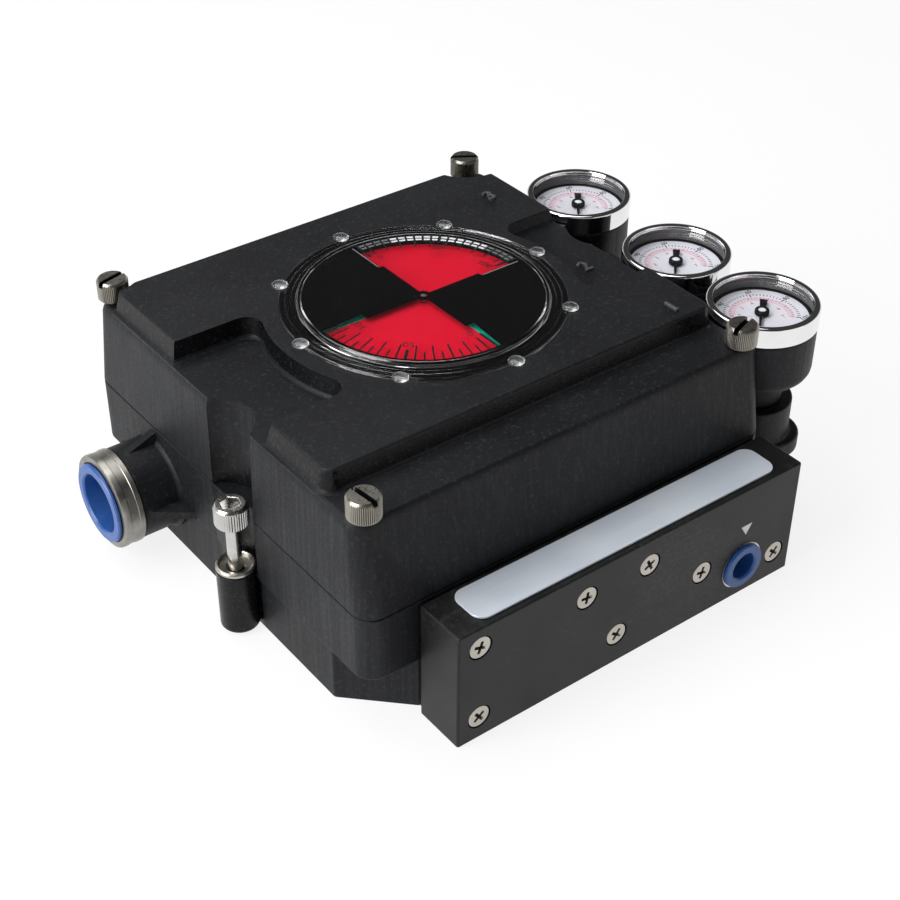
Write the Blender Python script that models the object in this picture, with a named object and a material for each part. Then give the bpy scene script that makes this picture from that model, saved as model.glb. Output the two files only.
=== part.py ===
"""Rotary valve positioner with a square two-shell housing, three gauges and a front air manifold.

All sizes are in millimetres and are turned into metres when a piece is finished.
The origin is the shaft axis at the level of the housing's underside. The manifold is on the -Y side,
the gauges on the +X side, the conduit entry on the -X side, and the round window faces up.
"""

import math

import bmesh
import bpy
from mathutils import Matrix, Vector

MM = 0.001

# Gaps, the lap of fused solids, and the extra length of cutters
TOUCH_GAP = 0.3
SLIDE_GAP = 0.4
LAP = 1.0
OVERCUT = 4.0
RUNOUT = 1.0
WELD = 0.0008

# Housing shells
HOUSING_HALF = 86.0
CORNER_RADIUS = 7.0
SEAM_Z = 47.0
PEDESTAL_HEIGHT = 22.0
PEDESTAL_INSET = 1.2
PEDESTAL_CHAMFER = 20.0
FLOOR = 5.0
WALL = 6.0
CAVITY_CHAMFER = 18.0
CAVITY_DRAFT = 1.0
COVER_SIDE_HEIGHT = 35.0
SHOULDER_DROP = 4.5
SHOULDER_SIDE_INSET = 0.7
SHOULDER_FRONT_INSET = 4.7
LEDGE_SIDE_INSET = 2.2
LEDGE_FRONT_INSET = 5.9
COVER_ROOF = 4.0
WINDOW_WALL = 3.0
LEDGE_Z = SEAM_Z + COVER_SIDE_HEIGHT

# Window and indicator
WINDOW_STEP = 44.0
WINDOW_SKIRT = 1.4
WINDOW_EDGE = 0.7
WINDOW_RISE = 2.9
WINDOW_SKIN = 1.3
FLANGE_WIDTH = 6.3
FLANGE_THICKNESS = 1.2
WINDOW_FLANGE = WINDOW_STEP + FLANGE_WIDTH
WINDOW_SEAL_INNER = WINDOW_STEP + 1.0
WINDOW_SEAL_OUTER = WINDOW_FLANGE - 2.0
WINDOW_SEAL_DEPTH = 1.0
LOBES = 8
LOBE_OUTSET = 0.5
LOBE_RADIUS = 2.9
LOBE_HEAD = 1.9
LOBE_RISE = 0.4
LOBE_DOME = 1.2
LOBE_FOOT = 0.1
MASK_MARGIN = 0.4
MASK_RADIUS = WINDOW_STEP - WINDOW_SKIRT - MASK_MARGIN
MASK_THICKNESS = 0.8
MASK_RING = 1.4
MASK_HUB = 2.4
MASK_STEP_RADIUS = 24.0
MASK_WIDENING = 2.0
INDICATOR_DEPTH = 2.7
DISC_MARGIN = 2.7
DISC_RADIUS = MASK_RADIUS - DISC_MARGIN
DISC_THICKNESS = 0.8
DISC_CLEARANCE = 1.5

# Raised plateau of the cover
PLATEAU_HEIGHT = 8.0
PLATEAU_Z = LEDGE_Z + PLATEAU_HEIGHT
PLATEAU_LEFT_INSET = 4.0
PLATEAU_RIGHT_INSET = 8.0
PLATEAU_FRONT_INSET = 24.0
PLATEAU_BACK_INSET = 15.0
PLATEAU_CORNER = 4.0
PLATEAU_DRAFT = 1.3
EDGE_BREAK = 0.8
POCKET_MARGIN = 6.2
POCKET_ARC = WINDOW_FLANGE + POCKET_MARGIN
POCKET_CORNER = 6.0
LEFT_POCKET_FRONT = -29.7
LEFT_POCKET_BACK = 28.3
LEFT_POCKET_DEPTH = 8.1
RIGHT_POCKET_FRONT = -29.8
RIGHT_POCKET_BACK = 24.5
RIGHT_POCKET_DEPTH = 5.5
LEFT_SCREW_SEAT = 8.5
RIGHT_SCREW_SEAT = 17.0

# Rim seal
SEAL_OUTER_INSET = 1.6
SEAL_WIDTH = 1.8
SEAL_DEPTH = 1.5

# Captive cover screws, placed by their distance in from the housing's sides
THUMB_LEFT_INSET = 6.5
THUMB_RIGHT_INSET = 8.6
THUMB_FRONT_INSET = 8.4
THUMB_BACK_INSET = 8.8
THUMB_HEAD_RADIUS = 5.6
THUMB_HEAD_HEIGHT = 8.2
THUMB_EDGE = 0.7
THUMB_SHANK_RADIUS = 2.0
THUMB_SHANK_BITE = 13.0
THUMB_KNURLS = 12
KNURL_DEPTH = 0.3
SLOT_WIDTH = 1.3
SLOT_DEPTH = 1.6

# Captive mounting screws in side lugs
LUG_OFFSET = 4.3
LUG_X = HOUSING_HALF + LUG_OFFSET
LEFT_LUG_Y = -15.3
RIGHT_LUG_Y = 8.0
CHANNEL_Y = 9.0
LUG_RADIUS = 6.9
LUG_CHAMFER = 1.5
LUG_BOTTOM_Z = 1.0
LUG_HEIGHT = 24.5
LUG_TOP_Z = LUG_BOTTOM_Z + LUG_HEIGHT
LUG_BORE = 4.3
BASE_CHANNEL = 8.0
COVER_CHANNEL = 13.5
CHANNEL_WALL = 6.0
CAP_LENGTH = 45.0
CAP_HEAD_RADIUS = 5.95
CAP_HEAD_HEIGHT = 8.0
CAP_EDGE = 0.7
CAP_SHANK_RADIUS = 2.5
CAP_THREAD_RADIUS = 3.9
CAP_THREAD_LENGTH = 9.0
CAP_THREAD_CHAMFER = 1.0
CAP_HEX_RADIUS = 3.6
CAP_HEX_DEPTH = 4.5
BUSHING_LENGTH = 13.8
BUSHING_FLANGE = 1.8
BUSHING_EDGE = 0.4

# Front manifold
GASKET = 0.6
GASKET_INSET = 1.5
MANIFOLD_LEFT_INSET = 19.6
MANIFOLD_RIGHT_INSET = 3.0
MANIFOLD_DEPTH = 20.0
MANIFOLD_TOP_DROP = 0.1
MANIFOLD_EDGE = 0.7
MANIFOLD_PAD_INSET = 2.0
LEFT_HOLE_INSET = 8.6
RIGHT_HOLE_INSET = 8.2
INNER_HOLE_INSET = 44.4
PORT_INSET = 24.5
MANIFOLD_LEFT = -HOUSING_HALF + MANIFOLD_LEFT_INSET
MANIFOLD_RIGHT = HOUSING_HALF - MANIFOLD_RIGHT_INSET
MANIFOLD_BACK = -HOUSING_HALF - GASKET - 2 * TOUCH_GAP
MANIFOLD_FRONT = MANIFOLD_BACK - MANIFOLD_DEPTH
MANIFOLD_TOP_Z = SEAM_Z - MANIFOLD_TOP_DROP
LEFT_HOLE_X = MANIFOLD_LEFT + LEFT_HOLE_INSET
RIGHT_HOLE_X = MANIFOLD_RIGHT - RIGHT_HOLE_INSET
INNER_HOLE_X = MANIFOLD_RIGHT - INNER_HOLE_INSET
MANIFOLD_HOLES = (
    (LEFT_HOLE_X, 39.0), (LEFT_HOLE_X, 9.3), (-14.3, 36.2), (0.2, 12.5), (12.9, 36.3),
    (INNER_HOLE_X, 19.7), (RIGHT_HOLE_X, 10.9),
)
FLAT_HEAD_RADIUS = 4.2
FLAT_HEAD_RIM = 0.4
FLAT_HEAD_DEPTH = 2.5
FLAT_HEAD_SINK = 0.1
FLAT_SHANK_RADIUS = 2.1
FLAT_SCREW_BITE = 4.0
FLAT_TIP = 0.8
PORT_X = MANIFOLD_RIGHT - PORT_INSET
PORT_Z = 13.2
PORT_RADIUS = 7.0
PORT_DEPTH = 14.0
PORT_CONE = 2.0
PORT_PASSAGE = 3.0
SUPPLY_PLUG_FLANGE = 8.7
SUPPLY_PLUG_DEPTH = 11.0
PLATE_END_INSET = 9.7
PLATE_WIDTH = 15.5
PLATE_THICKNESS = 0.6

# Conduit entry and the transit plugs
CONDUIT_Y = 45.0
CONDUIT_Z = 24.0
CONDUIT_LENGTH = 23.0
CONDUIT_END = -HOUSING_HALF - CONDUIT_LENGTH
CONDUIT_RING_RADIUS = 17.7
CONDUIT_RING_LENGTH = 8.0
RING_EDGE = 0.6
CONDUIT_HUB_RADIUS = 17.2
CONDUIT_NOSE_RADIUS = 15.0
CONDUIT_BORE = 13.0
CONDUIT_PLUG_DEPTH = 16.0
PLUG_LIP = 1.2
PLUG_WALL = 1.8
PLUG_FLOOR = 1.6
PLUG_TAPER = 0.6
RIB_THICKNESS = 3.0
RIB_SIDE_REACH = 29.0
RIB_TOP_REACH = 22.6

# Gauges, each as a name, a place along the side and the pointer's rest angle
GAUGES = (("signal", 34.4, 230.0), ("second", -21.0, 225.0), ("first", -65.2, 220.0))
GAUGE_OFFSET = 14.7
GAUGE_X = HOUSING_HALF + GAUGE_OFFSET
GAUGE_RADIUS = 20.3
GAUGE_TOP_DROP = 4.5
BEZEL_TOP_Z = PLATEAU_Z - GAUGE_TOP_DROP
BEZEL_HEIGHT = 7.7
BEZEL_BOTTOM_Z = BEZEL_TOP_Z - BEZEL_HEIGHT
BEZEL_LIP = 2.6
BEZEL_WALL = 1.2
BEZEL_EDGE = 1.0
CASE_HEIGHT = 21.0
CASE_BOTTOM_Z = BEZEL_BOTTOM_Z - TOUCH_GAP - CASE_HEIGHT
CASE_SHOULDER = 4.5
CASE_BEVEL = 1.6
COLLAR_RADIUS = 11.0
STEM_RADIUS = 4.8
STEM_LENGTH = 12.0
DIAL_THICKNESS = 0.6
LENS_THICKNESS = 1.4
LENS_RECESS = 1.8
PIN_BORE = 1.7
PIN_DEPTH = 4.5
POINTER_LIFT = 0.8
POINTER_LENGTH = 13.5
POINTER_TAIL = 8.3
POINTER_TAIL_HALF = 1.4
POINTER_WAIST_HALF = 0.7
POINTER_TIP_HALF = 0.2
POINTER_THICKNESS = 0.6
POINTER_HUB_RADIUS = 2.6
POINTER_HUB_RISE = 1.5
SHELF_MARGIN = 17.0
SHELF_BOTTOM_Z = 24.0
SHELF_THICKNESS = 7.0
SHELF_CORNER = 12.0
BOSS_RADIUS = 15.0
BOSS_TOP_DROP = 1.0
BOSS_TOP_Z = SEAM_Z - BOSS_TOP_DROP
GAUGE_CLEARANCE = 0.8
NOTCH_DROP = 2.0
NOTCH_BOTTOM_Z = CASE_BOTTOM_Z - NOTCH_DROP
NOTCH_WALL = 3.5

# Inner mechanism plate on its posts
DECK_LEFT_GAP = 18.0
DECK_RIGHT_GAP = 10.0
DECK_FRONT_GAP = 8.0
DECK_BACK_GAP = 16.0
DECK_RISE = 22.0
DECK_THICKNESS = 3.0
DECK_CORNER = 4.0
DECK_HOLE = 15.0
DECK_LEFT = -HOUSING_HALF + WALL + DECK_LEFT_GAP
DECK_RIGHT = HOUSING_HALF - WALL - DECK_RIGHT_GAP
DECK_FRONT = -HOUSING_HALF + WALL + DECK_FRONT_GAP
DECK_BACK = HOUSING_HALF - WALL - DECK_BACK_GAP
DECK_BOTTOM_Z = FLOOR + DECK_RISE
DECK_TOP_Z = DECK_BOTTOM_Z + DECK_THICKNESS
POST_RADIUS = 5.0
POST_INSET = 9.0
POST_TIP_RADIUS = 2.2
POST_TIP_RISE = 2.0

# Shaft and cam
SHAFT_RADIUS = 8.0
SHAFT_CHAMFER = 0.6
SHAFT_TAPER = 3.0
SHAFT_ABOVE_CAM = 2.2
SPINDLE_RADIUS = 3.2
SPINDLE_TIP_RADIUS = 1.0
SPINDLE_TIP_DROP = 0.3
CARRIER_RADIUS = 10.0
CARRIER_RIM = 1.5
CARRIER_CONE = 0.5
BUSHING_WALL = 2.6
BUSHING_RECESS = 1.0
SHAFT_BOSS_RADIUS = 17.0
SHAFT_BOSS_DROP = 2.0
SHAFT_BOSS_Z = DECK_BOTTOM_Z - SHAFT_BOSS_DROP
SHAFT_LIP = 2.5
SHAFT_SEAL_HEIGHT = 3.0
SNAP_RING_RADIUS = 12.5
SNAP_RING_HEIGHT = 1.3
CAM_RISE = 9.8
CAM_BOTTOM_Z = DECK_TOP_Z + CAM_RISE
CAM_THICKNESS = 4.0
CAM_TOP_Z = CAM_BOTTOM_Z + CAM_THICKNESS
CAM_HUB_RADIUS = 13.0
CAM_HUB_HEIGHT = 4.0
CAM_STEPS = 12
SHAFT_TURN_DEG = 90.0

# Cam follower
PIVOT_X = -32.0
PIVOT_Y = 32.0
ROLLER_X = -28.0
ROLLER_RADIUS = 5.0
ROLLER_PIN_RADIUS = 1.6
FOLLOWER_TURN_DEG = 12.0
ARM_LIFT = 1.4
ARM_BOTTOM_Z = CAM_TOP_Z + ARM_LIFT
ARM_THICKNESS = 3.0
ARM_WIDTH = 8.0
ARM_HUB_RADIUS = 7.0
PIVOT_RADIUS = 3.0
PIVOT_COLLAR_DROP = 2.3
PIVOT_COLLAR_Z = CAM_BOTTOM_Z - PIVOT_COLLAR_DROP
PIVOT_HEAD_LIP = 2.0
PIVOT_HEAD_HEIGHT = 1.5
SPRING_WIRE = 0.7
SPRING_TURNS = 3

# Pilot valve and diaphragm
CAPSULE_LEFT = -58.0
CAPSULE_RIGHT = -34.0
CAPSULE_RADIUS = 18.0
CAPSULE_FLANGE = 21.0
CAPSULE_FLANGE_HALF = 2.5
CAPSULE_CHAMFER = 3.0
CAPSULE_LIFT = 1.0
CAPSULE_FOOT_INSET = 4.0
CAPSULE_FOOT_HALF = 7.5
SPOOL_Y = -52.0
SPOOL_Z = DECK_TOP_Z + CAPSULE_FLANGE + CAPSULE_LIFT
SPOOL_RADIUS = 5.1
SPOOL_NECK_DEPTH = 1.8
SPOOL_LAND_PITCH = 18.0
SPOOL_NECK_LENGTH = 10.0
SPOOL_PUSH_RADIUS = 2.0
SPOOL_SHOULDER = 3.0
SPOOL_TAIL = 10.0
SPOOL_BODY_LEFT = -14.0
SPOOL_BODY_RIGHT = 44.0
SPOOL_BODY_WIDTH = 24.0
SPOOL_BODY_COVER = 12.0
SPOOL_PORT_RADIUS = 2.5
SPOOL_PORT_PITCH = 18.0

# Current transducer and terminals
TRANSDUCER_X = 40.0
TRANSDUCER_Y = 40.0
TRANSDUCER_RADIUS = 17.0
TRANSDUCER_HEIGHT = 32.0
TRANSDUCER_FOOT_LIP = 2.0
TRANSDUCER_FOOT_HEIGHT = 3.0
TRANSDUCER_CAP_RADIUS = 8.0
TRANSDUCER_CAP_HEIGHT = 4.0
TERMINAL_X = -32.0
TERMINAL_Y = 53.0
TERMINAL_LENGTH = 30.0
TERMINAL_DEPTH = 14.0
TERMINAL_HEIGHT = 14.0
TERMINALS = 2
TERMINAL_WELL_RADIUS = 4.0
TERMINAL_WELL_DEPTH = 5.0
TERMINAL_HEAD_DROP = 1.5
TERMINAL_SLOT_HALF = 0.5
TERMINAL_SLOT_DEPTH = 1.1

FINE_STEPS = 32
ROUND_STEPS = 18
SMALL_STEPS = 8

ALONG_X = Matrix.Rotation(math.radians(90.0), 4, "Y")
ALONG_Y = Matrix.Rotation(math.radians(-90.0), 4, "X")


def clear_scene():
    for old in list(bpy.data.objects):
        bpy.data.objects.remove(old)


def make_material(name, colour, roughness, metallic=0.0, alpha=1.0):
    material = bpy.data.materials.new(name)
    material.use_nodes = True
    shader = material.node_tree.nodes["Principled BSDF"]
    shader.inputs["Base Color"].default_value = (*colour, 1.0)
    shader.inputs["Roughness"].default_value = roughness
    shader.inputs["Metallic"].default_value = metallic
    shader.inputs["Alpha"].default_value = alpha
    return material


def make_materials():
    return {
        "resin": make_material("black_resin", (0.020, 0.020, 0.022), 0.62),
        "manifold": make_material("black_anodised", (0.018, 0.018, 0.019), 0.5),
        "rubber": make_material("seal_rubber", (0.015, 0.015, 0.015), 0.8),
        "nickel": make_material("nickel_plate", (0.62, 0.60, 0.56), 0.32, 1.0),
        "steel": make_material("stainless_steel", (0.66, 0.65, 0.63), 0.28, 1.0),
        "chrome": make_material("chrome", (0.80, 0.80, 0.80), 0.08, 1.0),
        "brass": make_material("brass", (0.72, 0.53, 0.25), 0.35, 1.0),
        "aluminium": make_material("aluminium", (0.66, 0.67, 0.68), 0.4, 1.0),
        "blue": make_material("blue_plug", (0.02, 0.12, 0.62), 0.4),
        "plate": make_material("silver_plate", (0.72, 0.74, 0.78), 0.35, 0.6),
        "clear": make_material("clear_window", (0.95, 0.96, 0.97), 0.06, 0.0, 0.25),
        "red": make_material("indicator_red", (0.72, 0.02, 0.05), 0.45),
        "mask": make_material("indicator_black", (0.015, 0.015, 0.016), 0.4),
        "white": make_material("dial_white", (0.85, 0.85, 0.84), 0.5),
        "ring": make_material("conduit_metal", (0.52, 0.51, 0.48), 0.42, 1.0),
    }


def solid(mesh_data):
    """Turn a bmesh into a working object, in millimetres."""
    bmesh.ops.recalc_face_normals(mesh_data, faces=mesh_data.faces)
    mesh = bpy.data.meshes.new("working")
    mesh_data.to_mesh(mesh)
    mesh_data.free()
    working = bpy.data.objects.new("working", mesh)
    bpy.context.scene.collection.objects.link(working)
    return working


def weld(mesh):
    """Join the near-coincident points that a cut can leave."""
    cleaned = bmesh.new()
    cleaned.from_mesh(mesh)
    bmesh.ops.remove_doubles(cleaned, verts=cleaned.verts, dist=WELD)
    bmesh.ops.dissolve_degenerate(cleaned, edges=cleaned.edges, dist=WELD)
    cleaned.to_mesh(mesh)
    cleaned.free()


def combine(body, tools, operation):
    for tool in tools:
        change = body.modifiers.new(operation.lower(), "BOOLEAN")
        change.operation = operation
        change.solver = "EXACT"
        change.object = tool
        evaluated = body.evaluated_get(bpy.context.evaluated_depsgraph_get())
        shaped = bpy.data.meshes.new_from_object(evaluated)
        body.modifiers.clear()
        weld(shaped)
        body.data = shaped
        bpy.data.objects.remove(tool)
    return body


def cut(body, *tools):
    return combine(body, tools, "DIFFERENCE")


def fuse(body, *tools):
    return combine(body, tools, "UNION")


def moved(body, x=0.0, y=0.0, z=0.0, turn=None):
    placing = Matrix.Translation((x, y, z))
    if turn is not None:
        placing = placing @ turn
    body.data.transform(placing)
    return body


def copy_of(body):
    twin = bpy.data.objects.new("working", body.data.copy())
    bpy.context.scene.collection.objects.link(twin)
    return twin


def piece(name, body, material, pivot=(0.0, 0.0, 0.0), sharp_deg=35.0):
    """Finish a working solid as a named piece in metres, with its origin at the pivot."""
    body.data.transform(Matrix.Scale(MM, 4) @ Matrix.Translation(-Vector(pivot)))
    body.data.shade_smooth()
    body.data.set_sharp_from_angle(angle=math.radians(sharp_deg))
    body.data.materials.clear()
    body.data.materials.append(material)
    body.data.name = name
    body.name = name
    body.location = Vector(pivot) * MM
    return body


def loft(sections):
    """A solid through outlines of equal length, each given as (height, points)."""
    shape = bmesh.new()
    rings = []
    for height, points in sections:
        rings.append([shape.verts.new((x, y, height)) for x, y in points])
    shape.faces.new(list(reversed(rings[0])))
    shape.faces.new(rings[-1])
    count = len(rings[0])
    for low, high in zip(rings, rings[1:]):
        for i in range(count):
            j = (i + 1) % count
            shape.faces.new((low[i], low[j], high[j], high[i]))
    return solid(shape)


def prism(points, bottom, top):
    return loft(((bottom, points), (top, points)))


def arc(x, y, radius, start_deg, end_deg, steps):
    points = []
    for i in range(steps + 1):
        angle = math.radians(start_deg + (end_deg - start_deg) * i / steps)
        points.append((x + radius * math.cos(angle), y + radius * math.sin(angle)))
    return points


def rounded(left, right, front, back, radius, steps=4):
    """Outline of a rectangle with round corners, anticlockwise."""
    return (
        arc(right - radius, back - radius, radius, 0, 90, steps)
        + arc(left + radius, back - radius, radius, 90, 180, steps)
        + arc(left + radius, front + radius, radius, 180, 270, steps)
        + arc(right - radius, front + radius, radius, 270, 360, steps)
    )


def chamfered(half, chamfer):
    """Outline of a square with cut corners, anticlockwise."""
    near = half - chamfer
    return [
        (half, -near), (half, near), (near, half), (-near, half),
        (-half, near), (-half, -near), (-near, -half), (near, -half),
    ]


def box(left, right, front, back, bottom, top):
    return prism([(left, front), (right, front), (right, back), (left, back)], bottom, top)


def turned(profile, segments=ROUND_STEPS, closed=False):
    """A solid of revolution about Z, from (radius, height) points."""
    shape = bmesh.new()
    rings = []
    for radius, height in profile:
        if radius == 0.0:
            rings.append([shape.verts.new((0.0, 0.0, height))])
        else:
            circle = arc(0, 0, radius, 0, 360, segments)[:-1]
            rings.append([shape.verts.new((x, y, height)) for x, y in circle])
    pairs = list(zip(rings, rings[1:]))
    if closed:
        pairs.append((rings[-1], rings[0]))
    for low, high in pairs:
        for i in range(segments):
            j = (i + 1) % segments
            if len(low) == 1:
                shape.faces.new((low[0], high[i], high[j]))
            elif len(high) == 1:
                shape.faces.new((low[i], low[j], high[0]))
            else:
                shape.faces.new((low[i], low[j], high[j], high[i]))
    return solid(shape)


def rod(radius, bottom, top, segments=ROUND_STEPS):
    return turned(((0.0, bottom), (radius, bottom), (radius, top), (0.0, top)), segments)


def tube(inner, outer, bottom, top, segments=ROUND_STEPS):
    return turned(((inner, bottom), (outer, bottom), (outer, top), (inner, top)), segments, closed=True)


def lug_places():
    return (("left", -LUG_X, LEFT_LUG_Y), ("right", LUG_X, RIGHT_LUG_Y))


def channel_places():
    return ((-LUG_X, -CHANNEL_Y), (LUG_X, CHANNEL_Y))


def thumb_places():
    left = -HOUSING_HALF + THUMB_LEFT_INSET
    right = HOUSING_HALF - THUMB_RIGHT_INSET
    front = -HOUSING_HALF + THUMB_FRONT_INSET
    back = HOUSING_HALF - THUMB_BACK_INSET
    return (
        ("thumb_screw_front_left", left, front),
        ("thumb_screw_front_right", right, front),
        ("thumb_screw_back_left", left, back),
        ("thumb_screw_back_right", right, back),
    )


def post_places():
    return [
        (x, y)
        for x in (DECK_LEFT + POST_INSET, DECK_RIGHT - POST_INSET)
        for y in (DECK_FRONT + POST_INSET, DECK_BACK - POST_INSET)
    ]


def square_outline(inset, radius=CORNER_RADIUS):
    half = HOUSING_HALF - inset
    return rounded(-half, half, -half, half, max(radius - inset, 1.0))


def drafted_outline(side_inset, front_inset):
    """The cover's outline at a higher level, drawn in more at the front and back than at the sides."""
    side = HOUSING_HALF - side_inset
    front = HOUSING_HALF - front_inset
    return rounded(-side, side, -front, front, CORNER_RADIUS)


def cavity(bottom, top, draft=0.0):
    """The hollow inside the walls, which leaves the corners and the screw channels solid."""
    half = HOUSING_HALF - WALL
    low = chamfered(half, CAVITY_CHAMFER)
    high = chamfered(half - draft, CAVITY_CHAMFER)
    hollow = loft(((bottom, low), (top, high)))
    for x, y in channel_places():
        cut(hollow, moved(rod(COVER_CHANNEL + CHANNEL_WALL, bottom - OVERCUT, top + OVERCUT), x, y))
    return hollow


def rim_loop(outer_inset, inner_inset, bottom, top):
    """A band round the rim, led inward round both screw channels."""
    outside = prism(square_outline(outer_inset), bottom, top)
    inside = prism(square_outline(inner_inset), bottom - OVERCUT, top + OVERCUT)
    for x, y in channel_places():
        cut(outside, moved(rod(COVER_CHANNEL + outer_inset, bottom - OVERCUT, top + OVERCUT), x, y))
        cut(inside, moved(rod(COVER_CHANNEL + inner_inset, bottom - 2 * OVERCUT, top + 2 * OVERCUT), x, y))
    return cut(outside, inside)


def conduit_rib(turn_deg, reach):
    """One web that braces the conduit hub against the side wall."""
    root = -HOUSING_HALF + WALL / 2
    tip = CONDUIT_END + CONDUIT_RING_LENGTH + LAP
    nose = CONDUIT_NOSE_RADIUS + LAP
    outline = [(root, CONDUIT_BORE), (root, reach), (tip, nose), (tip, CONDUIT_BORE)]
    rib = prism(outline, -RIB_THICKNESS / 2, RIB_THICKNESS / 2)
    moved(rib, turn=Matrix.Rotation(math.radians(90.0), 4, "X"))
    return moved(rib, 0.0, CONDUIT_Y, CONDUIT_Z, Matrix.Rotation(math.radians(turn_deg), 4, "X"))


def conduit_hub():
    """The round hub, its stepped nose and its four webs."""
    shoulder = CONDUIT_END + CONDUIT_RING_LENGTH + TOUCH_GAP
    root = -HOUSING_HALF + WALL / 2
    hub = turned((
        (0.0, root), (CONDUIT_HUB_RADIUS, root), (CONDUIT_HUB_RADIUS, shoulder),
        (CONDUIT_NOSE_RADIUS, shoulder), (CONDUIT_NOSE_RADIUS, CONDUIT_END), (0.0, CONDUIT_END),
    ))
    moved(hub, 0.0, CONDUIT_Y, CONDUIT_Z, ALONG_X)
    for quarter, reach in enumerate((RIB_TOP_REACH, RIB_SIDE_REACH, RIB_TOP_REACH, RIB_SIDE_REACH)):
        fuse(hub, conduit_rib(90.0 * quarter, reach))
    return hub


def screw_lug():
    return turned((
        (0.0, LUG_BOTTOM_Z), (LUG_RADIUS - LUG_CHAMFER, LUG_BOTTOM_Z),
        (LUG_RADIUS, LUG_BOTTOM_Z + LUG_CHAMFER), (LUG_RADIUS, LUG_TOP_Z), (0.0, LUG_TOP_Z),
    ))


def gauge_shelf():
    """The side shelf, with a boss under each gauge."""
    along = [y for _, y, _ in GAUGES]
    outline = rounded(HOUSING_HALF - WALL, GAUGE_X + SHELF_MARGIN, min(along) - SHELF_MARGIN,
                      max(along) + SHELF_MARGIN, SHELF_CORNER)
    shelf = prism(outline, SHELF_BOTTOM_Z, SHELF_BOTTOM_Z + SHELF_THICKNESS)
    for y in along:
        fuse(shelf, moved(rod(BOSS_RADIUS, SHELF_BOTTOM_Z + LAP, BOSS_TOP_Z), GAUGE_X, y))
    return shelf


def deck_post():
    shoulder = DECK_BOTTOM_Z - TOUCH_GAP
    tip = DECK_TOP_Z + POST_TIP_RISE
    return turned((
        (0.0, FLOOR - LAP), (POST_RADIUS, FLOOR - LAP), (POST_RADIUS, shoulder),
        (POST_TIP_RADIUS, shoulder), (POST_TIP_RADIUS, tip), (0.0, tip),
    ), SMALL_STEPS)


def build_base_housing(materials):
    base = prism(square_outline(0.0), PEDESTAL_HEIGHT, SEAM_Z)
    pedestal = chamfered(HOUSING_HALF - PEDESTAL_INSET, PEDESTAL_CHAMFER)
    fuse(base, prism(pedestal, 0.0, PEDESTAL_HEIGHT + LAP))
    fuse(base, box(MANIFOLD_LEFT + MANIFOLD_PAD_INSET, MANIFOLD_RIGHT - MANIFOLD_PAD_INSET,
                   -HOUSING_HALF, -HOUSING_HALF + WALL, 0.0, PEDESTAL_HEIGHT + LAP))
    for _, x, y in lug_places():
        fuse(base, moved(screw_lug(), x, y))
    fuse(base, gauge_shelf(), conduit_hub())
    cut(base, cavity(FLOOR, SEAM_Z + OVERCUT))
    for x, y in post_places():
        fuse(base, moved(deck_post(), x, y))
    fuse(base, rod(SHAFT_BOSS_RADIUS, FLOOR - LAP, SHAFT_BOSS_Z))
    cut_shaft_bore(base)
    cut_base_holes(base)
    inner_inset = SEAL_OUTER_INSET + SEAL_WIDTH
    cut(base, rim_loop(SEAL_OUTER_INSET, inner_inset, SEAM_Z - SEAL_DEPTH, SEAM_Z + OVERCUT))
    piece("base_housing", base, materials["resin"])


def cut_shaft_bore(base):
    bushing_bore = SHAFT_RADIUS + TOUCH_GAP + BUSHING_WALL + TOUCH_GAP
    cut(base, rod(SHAFT_RADIUS + SLIDE_GAP, -OVERCUT, SHAFT_LIP + OVERCUT))
    cut(base, rod(bushing_bore, SHAFT_LIP, SHAFT_BOSS_Z + OVERCUT))


def cut_base_holes(base):
    conduit = rod(CONDUIT_BORE, CONDUIT_END - OVERCUT, -HOUSING_HALF + WALL + OVERCUT)
    cut(base, moved(conduit, 0.0, CONDUIT_Y, CONDUIT_Z, ALONG_X))
    for _, x, y in lug_places():
        cut(base, moved(rod(BASE_CHANNEL, LUG_TOP_Z, SEAM_Z + OVERCUT), x, y))
        cut(base, moved(rod(LUG_BORE, -OVERCUT, LUG_TOP_Z + OVERCUT, 16), x, y))
    thread_end = SEAM_Z - THUMB_SHANK_BITE - RUNOUT
    for _, x, y in thumb_places():
        cut(base, moved(rod(THUMB_SHANK_RADIUS + SLIDE_GAP, thread_end, SEAM_Z + OVERCUT, SMALL_STEPS), x, y))
    stem_end = BOSS_TOP_Z - STEM_LENGTH - RUNOUT
    for _, y, _ in GAUGES:
        cut(base, moved(rod(STEM_RADIUS + TOUCH_GAP, stem_end, BOSS_TOP_Z + OVERCUT), GAUGE_X, y))
    outside = -HOUSING_HALF - OVERCUT
    screw_end = -HOUSING_HALF + FLAT_SCREW_BITE + RUNOUT
    for x, z in MANIFOLD_HOLES:
        hole = rod(FLAT_SHANK_RADIUS + TOUCH_GAP, outside, screw_end, SMALL_STEPS)
        cut(base, moved(hole, x, 0.0, z, ALONG_Y))
    passage = rod(PORT_PASSAGE, outside, -HOUSING_HALF + WALL + OVERCUT, SMALL_STEPS)
    cut(base, moved(passage, PORT_X, 0.0, PORT_Z, ALONG_Y))


def build_cover_seal(materials):
    seal = rim_loop(SEAL_OUTER_INSET + TOUCH_GAP, SEAL_OUTER_INSET + SEAL_WIDTH - TOUCH_GAP,
                    SEAM_Z - SEAL_DEPTH + TOUCH_GAP, SEAM_Z)
    piece("cover_seal", seal, materials["rubber"])


def plateau_outline(grow):
    return rounded(
        -HOUSING_HALF + PLATEAU_LEFT_INSET - grow, HOUSING_HALF - PLATEAU_RIGHT_INSET + grow,
        -HOUSING_HALF + PLATEAU_FRONT_INSET - grow, HOUSING_HALF - PLATEAU_BACK_INSET + grow,
        PLATEAU_CORNER + grow,
    )


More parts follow.
